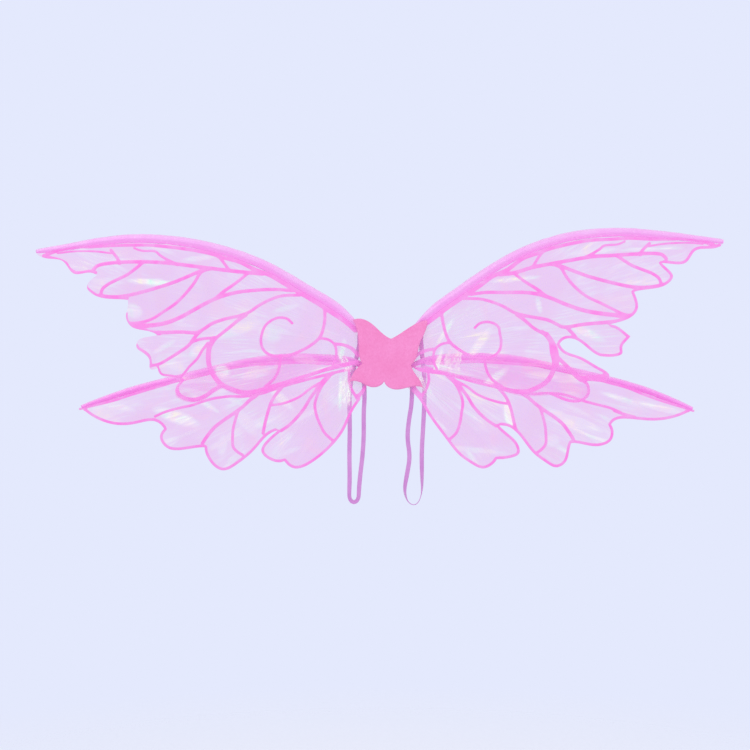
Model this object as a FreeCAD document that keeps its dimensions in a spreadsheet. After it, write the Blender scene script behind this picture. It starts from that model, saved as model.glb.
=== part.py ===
import FreeCAD, Part
import math
import os

# Fairy wings, worn on the back. Millimetres. +Z is up, the wearer is on the +Y side and the wings lie in the
# XZ plane.
# The origin is on the rear face of the back pad. "Depth" is the distance from that face towards -Y.
# Wing outlines are (outboard, up) pairs, measured from the origin away from the wearer's spine.

V = FreeCAD.Vector
OUT = "parts"
os.makedirs(OUT, exist_ok=True)
doc = FreeCAD.newDocument("fairy_wings")

SIZES = {
    "pad_half_width": 28.0,
    "pad_top": 12.0,
    "pad_bottom": -44.0,
    "pad_corner": 9.0,
    "pad_thickness": 3.0,
    "plate_thickness": 2.0,
    "boss_half_width": 9.0,
    "boss_depth": 11.8,
    "hinge_offset": 15.0,
    "hinge_depth": 14.0,
    "hinge_low": -36.0,
    "hinge_high": 14.0,
    "knuckle_radius": 2.2,
    "knuckle_length": 8.0,
    "knuckle_gap": 0.3,
    "hinge_pin_radius": 1.0,
    "hinge_bore_radius": 1.05,
    "leaf_depth": 13.0,
    "leaf_thickness": 2.0,
    "leaf_inner": 18.0,
    "rivet_radius": 1.5,
    "rivet_head_radius": 3.0,
    "rivet_head": 1.05,
    "eye_radius": 5.0,
    "eye_bore_radius": 1.55,
    "eye_thickness": 1.2,
    "barrel_radius": 1.7,
    "barrel_start": 4.0,
    "barrel_end": 12.5,
    "rod_radius": 1.2,
    "rod_start": 7.0,
    "cap_radius": 1.4,
    "cap_length": 6.0,
    "sleeve_thickness": 2.9,
    "film_thickness": 0.3,
    "upper_depth": 10.95,
    "lower_depth": 7.2,
    "screw_radius": 1.25,
    "screw_head_radius": 2.7,
    "screw_head": 1.4,
    "screw_length": 9.0,
    "felt_depth": 16.8,
    "felt_thickness": 2.0,
    "strap_radius": 1.3,
    "strap_depth": 1.5,
    "tab_width": 8.0,
    "tab_height": 14.0,
    "tab_thickness": 2.4,
}

sheet = doc.addObject("Spreadsheet::Sheet", "sizes")
for row, (alias, value) in enumerate(SIZES.items(), start=1):
    sheet.set(f"A{row}", alias)
    sheet.set(f"B{row}", str(value))
    sheet.setAlias(f"B{row}", alias)
doc.recompute()


def size(alias):
    return float(sheet.get(alias))


PIVOT = {"upper": (31.0, 28.0), "lower": (24.0, -24.0)}
SCREW_HEIGHTS = (2.0, -24.0)

# Centre line of each wing's rod and sleeve from root to tip; the pivot comes before the first point. The two
# wings of a pair are drawn one by one, as each hangs a little differently.
ROD_ROUTE = {
    "upper_left": [
        (78, 71), (125, 100), (190, 137), (250, 160), (320, 176),
        (394, 182), (457, 177), (510, 168), (560, 161),
    ],
    "upper_right": [
        (68, 62), (112, 94), (174, 136), (232, 166), (300, 186),
        (372, 192), (438, 188), (492, 182), (540, 177),
    ],
    "lower_left": [
        (60, -12), (106, -9), (150, -8), (200, -12), (260, -24),
        (330, -41), (395, -57), (440, -71), (488, -88),
    ],
    "lower_right": [
        (66, -11), (112, -8), (156, -7), (206, -11), (266, -23),
        (336, -39), (401, -56), (446, -72), (491, -91),
    ],
}
SLEEVE_HALF = {"upper": 7.2, "lower": 5.8}
SLEEVE_TIP_HALF = 2.4
SLEEVE_START = 15.0
ROD_TIP_GAP = 12.0

# The scalloped edge of each film from tip to root, one smooth stretch per lobe; the stretches meet at the
# notches.
FILM_EDGE = {
    "upper_left": [
        [(550, 154), (538, 149), (517, 145), (508, 134), (499, 125), (481, 126), (462, 122)],
        [(462, 122), (472, 115), (478, 103), (465, 90), (445, 85), (413, 83)],
        [(413, 83), (413, 72), (416, 58), (408, 41), (390, 35), (366, 27)],
        [(366, 27), (382, 24), (398, 16), (399, 8), (385, -4), (378, -14), (378, -25), (365, -26)],
        [(365, -26), (361, -36), (346, -42), (328, -46)],
        [(328, -46), (336, -57), (336, -70), (322, -79), (301, -80), (280, -70), (262, -59)],
        [(262, -59), (246, -66), (215, -70), (189, -62), (141, -47), (90, -30), (60, -25), (37, -18)],
    ],
    "upper_right": [
        [(530, 170), (515, 165), (494, 161), (488, 153), (480, 143), (464, 140), (441, 142)],
        [(441, 142), (452, 132), (459, 121), (452, 110), (437, 103), (418, 100), (397, 96)],
        [(397, 96), (402, 83), (403, 70), (395, 58), (383, 51), (358, 44)],
        [(358, 44), (370, 41), (380, 34), (391, 25)],
        [(391, 25), (383, 16), (378, 8), (378, -2), (368, -7), (355, -8), (342, -7)],
        [(342, -7), (327, 2), (314, 13), (302, 20), (288, 21), (278, 13)],
        [(278, 13), (284, 4), (310, -7), (340, -24), (352, -31), (357, -38), (352, -46), (341, -48),
         (321, -47)],
        [(321, -47), (326, -57), (325, -69), (314, -79), (298, -81), (282, -77), (264, -69)],
        [(264, -69), (240, -71), (213, -70), (186, -62), (136, -49), (84, -36), (56, -32), (37, -18)],
    ],
    "lower_left": [
        [(484, -95), (466, -106), (438, -116), (400, -115), (372, -111), (356, -123)],
        [(356, -123), (362, -140), (351, -154), (326, -157), (291, -153)],
        [(291, -153), (285, -172), (262, -190), (237, -179), (208, -154), (186, -131), (174, -126)],
        [(174, -126), (190, -140), (200, -159), (190, -171), (163, -175)],
        [(163, -175), (144, -187), (118, -177), (90, -154), (67, -125), (51, -91), (37, -70), (31, -54)],
    ],
    "lower_right": [
        [(486, -96), (463, -105), (433, -110), (408, -109), (385, -107), (369, -109), (361, -116)],
        [(361, -116), (365, -130), (361, -142), (350, -149), (331, -151), (310, -147), (297, -146)],
        [(297, -146), (294, -159), (288, -177), (273, -185), (257, -178), (236, -162), (218, -139),
         (202, -123), (182, -118)],
        [(182, -118), (200, -134), (212, -148), (214, -162), (203, -169), (178, -172)],
        [(178, -172), (169, -182), (156, -187), (138, -180), (117, -165), (98, -142), (80, -118), (65, -96),
         (53, -76), (42, -64), (31, -54)],
    ],
}
# The film's hidden edge beside the hub, from the bottom up; it ends at the sleeve.
FILM_ROOT = {"upper": [(37, -18), (39, 5), (40.5, 24)], "lower": [(31, -54), (36, -38)]}

FELT_OUTLINE = [
    [(8, 21), (19, 27), (34, 37), (61, 50)],
    [(61, 50), (65, 50), (66, 46)],
    [(66, 46), (61, 29), (54, 14), (50, -3), (40, -21)],
    [(40, -21), (46, -34), (55, -47), (59, -57)],
    [(59, -57), (45, -55), (30, -58), (16, -60), (5, -57), (-3, -47)],
    [(-3, -47), (-12, -55), (-24, -56), (-40, -49), (-58, -48)],
    [(-58, -48), (-53, -35), (-38, -19)],
    [(-38, -19), (-43, -5), (-44, 14), (-47, 37), (-53, 51)],
    [(-53, 51), (-40, 53), (-24, 46), (-5, 29), (8, 21)],
]
PLATE_OUTLINE = [
    (7, 14), (20, 22), (34, 31), (57, 42), (60, 41), (56, 28), (49, 13), (45, -3), (35, -20), (42, -36),
    (52, -51), (30, -53), (16, -55), (6, -52), (-3, -40), (-12, -50), (-24, -51), (-38, -44), (-51, -44),
    (-48, -37), (-33, -19), (-38, -5), (-39, 14), (-42, 34), (-47, 46), (-40, 48), (-26, 41), (-8, 25),
]
PLATE_CORNER = 1.0

# Shoulder straps: (x, y, z) from the upper tab, down, round and up to the lower tab.
STRAP_ROUTE = {
    "left": [
        (-42, -1.5, 14), (-48, -1, -12), (-56, 1, -42), (-59, 4, -80), (-58, 6, -122), (-59, 8, -164),
        (-58.3, 8, -200), (-59, 8, -222), (-59, 8.3, -237), (-51.5, 8, -243), (-44, 8.3, -237),
        (-43.5, 8, -222), (-41.5, 7, -198), (-37.5, 7, -166), (-35.5, 5, -132), (-36, 3, -98),
        (-34, 0, -72), (-35, -1.5, -52),
    ],
    "right": [
        (56, -1.5, 22), (58, -1, -6), (62, 1, -38), (62, 4, -78), (60, 6, -120), (57.5, 7, -160),
        (58, 8, -196), (58.5, 8, -228), (50, 8, -247), (36, 7, -244), (29, 7, -224), (34, 6, -196),
        (39, 6, -168), (34, 5, -138), (37, 3, -108), (42, 0, -80), (42, -1.5, -54),
    ],
}


def side_sign(side):
    return -1 if side == "left" else 1


def mirrored(points, side):
    return [(side_sign(side) * out, up) for out, up in points]


def spline(points):
    curve = Part.BSplineCurve()
    curve.interpolate([V(a, b, 0) for a, b in points])
    return curve


def new_body(label):
    body = doc.addObject("PartDesign::Body", label)
    body.Label = label
    return body


def new_sketch(body, name, role, offset):
    """A sketch on one of the body's origin planes. The offset is a depth on XZ_Plane, a height on XY_Plane."""
    sketch = body.newObject("Sketcher::SketchObject", name)
    plane = [feature for feature in body.Origin.OriginFeatures if feature.Role == role][0]
    sketch.AttachmentSupport = (plane, "")
    sketch.MapMode = "FlatFace"
    sketch.setExpression(".AttachmentOffset.Base.z", offset)
    return sketch


def draw_stretches(sketch, stretches):
    for points in stretches:
        if len(points) == 2:
            sketch.addGeometry(Part.LineSegment(V(*points[0], 0), V(*points[1], 0)), False)
        else:
            sketch.addGeometry(spline(points), False)


def draw_polygon(sketch, points):
    draw_stretches(sketch, [[a, b] for a, b in zip(points, points[1:] + points[:1])])


def draw_circle(sketch, centre, radius):
    sketch.addGeometry(Part.Circle(V(*centre, 0), V(0, 0, 1), radius), False)


def draw_round_rectangle(sketch, low, high, radius):
    (x0, z0), (x1, z1) = low, high
    corners = [(x1 - radius, z1 - radius), (x0 + radius, z1 - radius),
               (x0 + radius, z0 + radius), (x1 - radius, z0 + radius)]
    for index, (cx, cz) in enumerate(corners):
        start = index * math.pi / 2
        circle = Part.Circle(V(cx, cz, 0), V(0, 0, 1), radius)
        sketch.addGeometry(Part.ArcOfCircle(circle, start, start + math.pi / 2), False)
    sides = [[(x1 - radius, z1), (x0 + radius, z1)], [(x0, z1 - radius), (x0, z0 + radius)],
             [(x0 + radius, z0), (x1 - radius, z0)], [(x1, z0 + radius), (x1, z1 - radius)]]
    draw_stretches(sketch, sides)


def pad(body, sketch, length):
    feature = body.newObject("PartDesign::Pad", sketch.Name + "_pad")
    feature.Profile = sketch
    feature.setExpression("Length", length)
    return feature


def cut_through(body, sketch, length):
    """A pocket through the body, made both ways so that it always meets the solid."""
    feature = body.newObject("PartDesign::Pocket", sketch.Name + "_pocket")
    feature.Profile = sketch
    feature.Midplane = True
    feature.setExpression("Length", length)
    return feature


def cylinder(name, radius, height, x, depth, z):
    """A Part cylinder that runs from the given depth towards -Y."""
    feature = doc.addObject("Part::Cylinder", name)
    feature.setExpression("Radius", radius)
    feature.setExpression("Height", height)
    feature.Placement = FreeCAD.Placement(V(x, -depth, z), FreeCAD.Rotation(V(1, 0, 0), 90))
    return feature


def fuse(label, shapes):
    feature = doc.addObject("Part::MultiFuse", label)
    feature.Label = label
    feature.Shapes = shapes
    return feature


def cut(label, base, tool):
    feature = doc.addObject("Part::Cut", label)
    feature.Label = label
    feature.Base = base
    feature.Tool = tool
    return feature


def group(label, members):
    feature = doc.addObject("Part::Compound", label)
    feature.Label = label
    feature.Links = members
    return feature


def plain_shape(label, shape):
    feature = doc.addObject("Part::Feature", label)
    feature.Label = label
    feature.Shape = shape
    return feature


def rounded_path(points, label):
    """Straight runs joined by tangent arcs, each as large as its runs allow. Also gives the smallest radius."""
    edges = []
    radii = []
    start = points[0]
    for before, corner, after in zip(points, points[1:], points[2:]):
        back = (before - corner).normalize()
        ahead = (after - corner).normalize()
        turn = math.pi - back.getAngle(ahead)
        reach = 0.45 * min((before - corner).Length, (after - corner).Length)
        radius = reach / math.tan(turn / 2)
        radii.append(radius)
        middle = (back + ahead).normalize()
        arc_in = corner + back * reach
        arc_out = corner + ahead * reach
        arc_mid = corner + middle * (radius / math.cos(turn / 2) - radius)
        edges.append(Part.LineSegment(start, arc_in).toShape())
        edges.append(Part.Arc(arc_in, arc_mid, arc_out).toShape())
        start = arc_out
    edges.append(Part.LineSegment(start, points[-1]).toShape())
    print(label, "smallest radius", round(min(radii), 1))
    return Part.Wire(edges)


def tube(path, radius, label):
    first = path.Edges[0]
    tangent = first.tangentAt(first.FirstParameter)
    ring = Part.Wire(Part.makeCircle(radius, first.valueAt(first.FirstParameter), tangent))
    solid = path.makePipeShell([ring], True, False)
    section = math.pi * radius**2
    ratio = solid.Volume / (section * path.Length)
    print(label, "length", round(path.Length, 1), "volume ratio", round(ratio, 4))
    return solid


# ---- hub ---------------------------------------------------------------------------------------------------


def make_back_pad():
    body = new_body("back_pad")
    sketch = new_sketch(body, "pad_outline", "XZ_Plane", "0")
    half = size("pad_half_width")
    low, high = (-half, size("pad_bottom")), (half, size("pad_top"))
    draw_round_rectangle(sketch, low, high, size("pad_corner"))
    pad(body, sketch, "sizes.pad_thickness")
    return body


def edges_where(shape, test):
    return [f"Edge{index}" for index, edge in enumerate(shape.Edges, start=1) if test(edge)]


def make_back_plate():
    """A stiff plate cut to the felt's shape, with two countersunk holes for the boss screws."""
    body = new_body("back_plate")
    sketch = new_sketch(body, "plate_outline", "XZ_Plane", "sizes.pad_thickness")
    draw_polygon(sketch, PLATE_OUTLINE)
    for height in SCREW_HEIGHTS:
        draw_circle(sketch, (0, height), size("screw_radius"))
    plate = pad(body, sketch, "sizes.plate_thickness")
    doc.recompute()

    def is_corner(edge):
        straight = edge.Curve.TypeId == "Part::GeomLine"
        return straight and abs(edge.tangentAt(edge.FirstParameter).y) > 0.99

    fillet = body.newObject("PartDesign::Fillet", "plate_corners")
    fillet.Base = (plate, edges_where(plate.Shape, is_corner))
    fillet.Radius = PLATE_CORNER
    doc.recompute()

    def is_rear_hole(edge):
        round_edge = edge.Curve.TypeId == "Part::GeomCircle" and edge.isClosed()
        return round_edge and abs(edge.CenterOfMass.y + size("pad_thickness")) < 0.01

    sink = body.newObject("PartDesign::Chamfer", "screw_sinks")
    sink.Base = (fillet, edges_where(fillet.Shape, is_rear_hole))
    sink.setExpression("Size", "sizes.screw_head")
    return body


def make_hub_boss():
    """The block between plate and felt, with the fixed knuckles of both fold hinges on its sides."""
    body = new_body("hub_boss")
    plate_front = "sizes.pad_thickness + sizes.plate_thickness"
    half, low, high = size("boss_half_width"), size("hinge_low"), size("hinge_high")
    block = new_sketch(body, "boss_block", "XZ_Plane", plate_front)
    draw_polygon(block, [(-half, low), (half, low), (half, high), (-half, high)])
    pad(body, block, "sizes.boss_depth")
    hinge, depth, length = size("hinge_offset"), size("hinge_depth"), size("knuckle_length")
    for name, bottom in (("low", low), ("high", high - length)):
        web = new_sketch(body, f"boss_web_{name}", "XZ_Plane", "sizes.hinge_depth - sizes.knuckle_radius / 2")
        top = bottom + length
        draw_polygon(web, [(-hinge, bottom), (hinge, bottom), (hinge, top), (-hinge, top)])
        pad(body, web, "sizes.knuckle_radius")
        barrels = new_sketch(body, f"boss_knuckles_{name}", "XY_Plane", str(bottom))
        for side in (-1, 1):
            draw_circle(barrels, (side * hinge, -depth), size("knuckle_radius"))
        pad(body, barrels, "sizes.knuckle_length")
    bores = new_sketch(body, "boss_pin_bores", "XY_Plane", "0")
    for side in (-1, 1):
        draw_circle(bores, (side * hinge, -depth), size("hinge_pin_radius"))
    cut_through(body, bores, "4 * sizes.hinge_high - 4 * sizes.hinge_low")
    screws = new_sketch(body, "boss_screw_holes", "XZ_Plane", plate_front)
    for height in SCREW_HEIGHTS:
        draw_circle(screws, (0, height), size("screw_radius"))
    holes = body.newObject("PartDesign::Pocket", "boss_screw_pocket")
    holes.Profile = screws
    holes.Reversed = True
    holes.setExpression("Length", "sizes.screw_length - sizes.plate_thickness")
    return body


def make_hub_screws():
    screws = []
    for index, height in enumerate(SCREW_HEIGHTS):
        head = doc.addObject("Part::Cone", f"screw_head_{index}")
        head.setExpression("Radius1", "sizes.screw_radius + sizes.screw_head")
        head.setExpression("Radius2", "sizes.screw_radius")
        head.setExpression("Height", "sizes.screw_head")
        seat = V(0, -size("pad_thickness"), height)
        head.Placement = FreeCAD.Placement(seat, FreeCAD.Rotation(V(1, 0, 0), 90))
        shank = cylinder(f"screw_shank_{index}", "sizes.screw_radius", "sizes.screw_length",
                         0, size("pad_thickness"), height)
        screws.append(fuse(f"screw_{index}", [head, shank]))
    return group("hub_screws", screws)


def make_hinge_pin(side):
    pin = doc.addObject("Part::Cylinder", f"{side}_hinge_pin")
    pin.Label = f"{side}_hinge_pin"
    pin.setExpression("Radius", "sizes.hinge_pin_radius")
    pin.setExpression("Height", "sizes.hinge_high - sizes.hinge_low")
    pin.Placement.Base = V(side_sign(side) * size("hinge_offset"), -size("hinge_depth"), size("hinge_low"))
    return pin


def make_felt():
    body = new_body("felt_butterfly")
    sketch = new_sketch(body, "felt_outline", "XZ_Plane", "sizes.felt_depth")
    draw_stretches(sketch, FELT_OUTLINE)
    pad(body, sketch, "sizes.felt_thickness")
    return body


def make_strap(side):
    label = f"{side}_shoulder_strap"
    path = rounded_path([V(*point) for point in STRAP_ROUTE[side]], label)
    return plain_shape(label, tube(path, size("strap_radius"), label))


def make_strap_tab(side, end):
    """The stitched end of a strap, on the rear of the back plate; the strap leaves its lower face."""
    route = STRAP_ROUTE[side]
    x, y, z = route[0] if end == "upper" else route[-1]
    tab = doc.addObject("Part::Box", f"{side}_{end}_strap_tab")
    tab.Label = f"{side}_{end}_strap_tab"
    tab.setExpression("Length", "sizes.tab_width")
    tab.setExpression("Width", "sizes.tab_thickness")
    tab.setExpression("Height", "sizes.tab_height")
    tab.Placement.Base = V(x - size("tab_width") / 2, -size("pad_thickness"), z)
    return tab


# ---- hinge leaves ------------------------------------------------------------------------------------------

LEAF_OUTLINE = [(18, -29), (30, -29), (33, -20), (34, 8), (37, 28), (31, 34), (24, 27), (18, 20)]


def make_hinge_leaf(side):
    """The plate that carries both wings of one side and turns on the fold hinge."""
    body = new_body(f"{side}_hinge_leaf")
    sign, hinge, depth = side_sign(side), size("hinge_offset"), size("hinge_depth")
    low = size("hinge_low") + size("knuckle_length") + size("knuckle_gap")
    high = size("hinge_high") - size("knuckle_length") - size("knuckle_gap")
    plate = new_sketch(body, f"{side}_leaf_plate", "XZ_Plane", "sizes.leaf_depth")
    draw_polygon(plate, mirrored(LEAF_OUTLINE, side))
    pad(body, plate, "sizes.leaf_thickness")
    web = new_sketch(body, f"{side}_leaf_web", "XZ_Plane", "sizes.leaf_depth")
    draw_polygon(web, mirrored([(hinge, low), (size("leaf_inner") + 1, low),
                                (size("leaf_inner") + 1, high), (hinge, high)], side))
    pad(body, web, "sizes.leaf_thickness")
    barrel = new_sketch(body, f"{side}_leaf_knuckle", "XY_Plane", str(low))
    draw_circle(barrel, (sign * hinge, -depth), size("knuckle_radius"))
    pad(body, barrel, str(high - low))
    bore = new_sketch(body, f"{side}_leaf_bore", "XY_Plane", "0")
    draw_circle(bore, (sign * hinge, -depth), size("hinge_bore_radius"))
    cut_through(body, bore, "4 * sizes.hinge_high - 4 * sizes.hinge_low")
    holes = new_sketch(body, f"{side}_leaf_holes", "XZ_Plane", "sizes.leaf_depth")
    for out, up in PIVOT.values():
        draw_circle(holes, (sign * out, up), size("rivet_radius"))
    cut_through(body, holes, "4 * sizes.leaf_thickness")
    return body


def make_pivot_rivets(side):
    """Two rivets: a head in front of the leaf, a shank through leaf, spacer and wing eye, and a rear head."""
    rivets = []
    for wing, (out, up) in PIVOT.items():
        x = side_sign(side) * out
        eye_front = size(f"{wing}_depth") + size("barrel_radius") - 0.3
        rear = eye_front - size("eye_thickness") - size("rivet_head") - 0.05
        front = size("leaf_depth") + size("leaf_thickness")
        shank = cylinder(f"{side}_{wing}_shank", "sizes.rivet_radius", str(front - rear), x, rear, up)
        head = ("sizes.rivet_head_radius", "sizes.rivet_head")
        back = cylinder(f"{side}_{wing}_rear_head", *head, x, rear, up)
        nose = cylinder(f"{side}_{wing}_front_head", *head, x, front, up)
        rivets.append(fuse(f"{side}_{wing}_rivet", [shank, back, nose]))
    return group(f"{side}_pivot_rivets", rivets)


def make_pivot_spacers(side):
    """A thin washer in front of the upper eye and a longer spacer in front of the lower one."""
    spacers = []
    for wing, (out, up) in PIVOT.items():
        x = side_sign(side) * out
        start = size(f"{wing}_depth") + size("barrel_radius") - 0.25
        length = str(size("leaf_depth") - start)
        outer = cylinder(f"{side}_{wing}_spacer_outer", "sizes.rivet_head_radius", length, x, start, up)
        inner = cylinder(f"{side}_{wing}_spacer_inner", "sizes.rivet_radius", length, x, start, up)
        spacers.append(cut(f"{side}_{wing}_spacer", outer, inner))
    return group(f"{side}_pivot_spacers", spacers)


# ---- wings -------------------------------------------------------------------------------------------------


def rod_line(wing, side):
    """The rod's centre line as points, from the pivot out to the tip."""
    start = (side_sign(side) * PIVOT[wing][0], PIVOT[wing][1])
    return [start] + mirrored(ROD_ROUTE[f"{wing}_{side}"], side)


def along(points, distance):
    """The point at a distance from the first point towards the second."""
    (x0, z0), (x1, z1) = points[:2]
    length = math.hypot(x1 - x0, z1 - z0)
    return (x0 + (x1 - x0) * distance / length, z0 + (z1 - z0) * distance / length)


def sleeve_edges(wing, side):
    """Outer and inner edge of the sleeve, offset from its centre line and drawn in towards the tip."""
    line = rod_line(wing, side)
    centre = spline([along(line, SLEEVE_START)] + line[1:])
    samples = 14
    outer, inner = [], []
    for index, point in enumerate(centre.discretize(Number=samples)):
        share = index / (samples - 1)
        half = SLEEVE_TIP_HALF + (SLEEVE_HALF[wing] - SLEEVE_TIP_HALF) * math.sqrt(1 - share**4)
        tangent = centre.tangent(centre.parameter(point))[0]
        across = V(-tangent.y, tangent.x, 0) * side_sign(side)
        outer.append((point.x + across.x * half, point.y + across.y * half))
        inner.append((point.x - across.x * half, point.y - across.y * half))
    return outer, inner


def layer(wing, thickness):
    return f"sizes.{wing}_depth - sizes.{thickness} / 2"


def make_sleeve(wing, side, label):
    body = new_body(label)
    sketch = new_sketch(body, f"{label}_outline", "XZ_Plane", layer(wing, "sleeve_thickness"))
    outer, inner = sleeve_edges(wing, side)
    inner = inner[::-1]
    draw_stretches(sketch, [outer, [outer[-1], inner[0]], inner, [inner[-1], outer[0]]])
    pad(body, sketch, "sizes.sleeve_thickness")
    return body


def make_film(wing, side, label):
    """The film, from the sleeve's inner edge round the scallops to the hub and back."""
    body = new_body(label)
    sketch = new_sketch(body, f"{label}_outline", "XZ_Plane", layer(wing, "film_thickness"))
    inner = sleeve_edges(wing, side)[1]
    edge = [mirrored(stretch, side) for stretch in FILM_EDGE[f"{wing}_{side}"]]
    root = mirrored(FILM_ROOT[wing], side)
    edge[0][0] = inner[-1]
    edge[-1][-1] = root[0]
    draw_stretches(sketch, [inner] + edge + [root + [inner[0]]])
    pad(body, sketch, "sizes.film_thickness")
    return body


def make_rod(wing, side, label):
    line = rod_line(wing, side)
    tip = along([line[-1], line[-2]], ROD_TIP_GAP)
    points = [along(line, size("rod_start"))] + line[1:-1] + [tip]
    depth = size(f"{wing}_depth")
    path = rounded_path([V(x, -depth, z) for x, z in points], label)
    return plain_shape(label, tube(path, size("rod_radius"), label))


def turned_cylinder(name, radius, length, start, end, depth):
    """A Part cylinder from start towards end, both (x, z), in the plane at the given depth."""
    feature = doc.addObject("Part::Cylinder", name)
    feature.setExpression("Radius", radius)
    feature.setExpression("Height", length)
    direction = V(end[0] - start[0], 0, end[1] - start[1])
    turn = FreeCAD.Rotation(V(0, 0, 1), direction)
    feature.Placement = FreeCAD.Placement(V(start[0], -depth, start[1]), turn)
    return feature


def make_tip_cap(wing, side, label):
    line = rod_line(wing, side)
    tip = along([line[-1], line[-2]], ROD_TIP_GAP)
    cap = turned_cylinder(label, "sizes.cap_radius", "sizes.cap_length", tip, line[-1], size(f"{wing}_depth"))
    cap.Label = label
    return cap


def make_root_eye(wing, side, label):
    """The flat eye on the pivot rivet with the barrel that is crimped onto the rod."""
    line = rod_line(wing, side)
    (x, z), depth = line[0], size(f"{wing}_depth")
    rear = depth + size("barrel_radius") - 0.3 - size("eye_thickness")
    disc = cylinder(f"{label}_disc", "sizes.eye_radius", "sizes.eye_thickness", x, rear, z)
    length = "sizes.barrel_end - sizes.barrel_start"
    start = along(line, size("barrel_start"))
    barrel = turned_cylinder(f"{label}_barrel", "sizes.barrel_radius", length, start, line[1], depth)
    bore = turned_cylinder(f"{label}_rod_bore", "sizes.rod_radius", "sizes.barrel_end",
                           along(line, size("rod_start")), line[1], depth)
    pivot = cylinder(f"{label}_pivot_bore", "sizes.eye_bore_radius", "10", x, depth - 5, z)
    room = cylinder(f"{label}_head_room", "sizes.rivet_head_radius + 0.2", "sizes.barrel_radius * 4",
                    x, rear - 4 * size("barrel_radius"), z)
    solid = fuse(f"{label}_solid", [disc, barrel])
    tools = fuse(f"{label}_bores", [bore, pivot, room])
    return cut(label, solid, tools)


# ---- assembly ----------------------------------------------------------------------------------------------

nodes = [make_back_pad(), make_back_plate(), make_hub_boss(), make_hub_screws(), make_felt()]
for side in ("left", "right"):
    nodes.append(make_hinge_pin(side))
    nodes.append(make_strap(side))
    nodes.append(make_strap_tab(side, "upper"))
    nodes.append(make_strap_tab(side, "lower"))
    nodes.append(make_hinge_leaf(side))
    nodes.append(make_pivot_rivets(side))
    nodes.append(make_pivot_spacers(side))
    for wing in ("upper", "lower"):
        name = f"{wing}_{side}"
        nodes.append(make_film(wing, side, f"{name}_film"))
        nodes.append(make_sleeve(wing, side, f"{name}_sleeve"))
        nodes.append(make_rod(wing, side, f"{name}_rod"))
        nodes.append(make_tip_cap(wing, side, f"{name}_tip_cap"))
        nodes.append(make_root_eye(wing, side, f"{name}_root_eye"))

doc.recompute()
for item in doc.Objects:
    if "Invalid" in item.State or "Error" in item.State:
        raise RuntimeError(f"{item.Label} failed: {item.State}")
for node in nodes:
    if node.Shape.isNull() or not node.Shape.isValid():
        raise RuntimeError(f"{node.Label} has no valid shape")
for node in nodes:
    node.Shape.exportStep(os.path.join(OUT, node.Label + ".step"))
    print(node.Label, "volume", round(node.Shape.Volume, 1), "solids", len(node.Shape.Solids))
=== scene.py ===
import bmesh
import bpy
import math
import numpy as np
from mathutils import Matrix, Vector, noise
from mathutils.geometry import delaunay_2d_cdt


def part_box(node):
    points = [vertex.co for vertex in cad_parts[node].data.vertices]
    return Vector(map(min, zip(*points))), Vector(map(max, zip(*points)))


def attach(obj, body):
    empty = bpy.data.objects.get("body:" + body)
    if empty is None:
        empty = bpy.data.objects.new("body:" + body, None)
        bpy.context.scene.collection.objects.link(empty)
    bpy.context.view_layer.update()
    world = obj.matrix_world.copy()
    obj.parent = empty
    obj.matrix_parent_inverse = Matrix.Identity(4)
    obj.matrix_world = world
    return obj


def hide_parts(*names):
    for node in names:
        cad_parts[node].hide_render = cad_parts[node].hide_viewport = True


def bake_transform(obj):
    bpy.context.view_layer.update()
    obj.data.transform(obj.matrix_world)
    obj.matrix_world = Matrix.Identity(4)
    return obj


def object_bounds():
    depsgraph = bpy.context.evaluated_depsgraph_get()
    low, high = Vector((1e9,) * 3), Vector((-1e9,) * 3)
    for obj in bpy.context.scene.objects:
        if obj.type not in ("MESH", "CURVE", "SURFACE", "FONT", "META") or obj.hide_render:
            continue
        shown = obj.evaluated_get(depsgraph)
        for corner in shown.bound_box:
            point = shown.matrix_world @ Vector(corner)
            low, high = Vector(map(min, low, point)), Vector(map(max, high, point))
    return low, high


# Fairy wings. Metres in the CAD frame: the wings lie in the XZ plane and face -Y, and the wearer is at +Y.
# Flat drawings are in millimetres, as (outboard, up) pairs on a wing and (x, z) pairs elsewhere; MM turns
# them into metres. "Depth" is the distance in millimetres from the pad's rear face towards -Y.
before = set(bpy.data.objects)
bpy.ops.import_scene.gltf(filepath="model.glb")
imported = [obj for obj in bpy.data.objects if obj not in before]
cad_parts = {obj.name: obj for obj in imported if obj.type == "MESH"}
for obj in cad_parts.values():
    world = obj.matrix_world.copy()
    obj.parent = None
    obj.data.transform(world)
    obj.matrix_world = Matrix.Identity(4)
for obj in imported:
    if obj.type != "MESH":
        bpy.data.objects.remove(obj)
cad_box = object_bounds()
MM = 0.001
SIDES = ("left", "right")
WINGS = ("upper", "lower")


def side_sign(side):
    """-1 on the left, 1 on the right."""
    return -1 if side == "left" else 1


def middle_y(node):
    """The middle of a CAD node's depth."""
    low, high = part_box(node)
    return (low[1] + high[1]) / 2


# ---- camera and straps come first ----

LENS = 85.0
SENSOR = 36.0
VIEW_WIDTH = 1.2
VIEW_CENTRE = (-0.0176, -0.0368)


def make_camera():
    """A straight-on view that is VIEW_WIDTH wide at the plane of the wings."""
    data = bpy.data.cameras.new("camera")
    data.lens = LENS
    data.sensor_width = SENSOR
    camera = place_in_scene("camera", data)
    distance = VIEW_WIDTH * LENS / SENSOR
    camera.location = (VIEW_CENTRE[0], middle_y("upper_left_film") - distance, VIEW_CENTRE[1])
    camera.rotation_euler = (math.pi / 2, 0, 0)
    bpy.context.scene.camera = camera


def place_in_scene(name, data):
    """A new object in the scene that holds the mesh, camera or light."""
    made = bpy.data.objects.new(name, data)
    bpy.context.scene.collection.objects.link(made)
    return made


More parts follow.
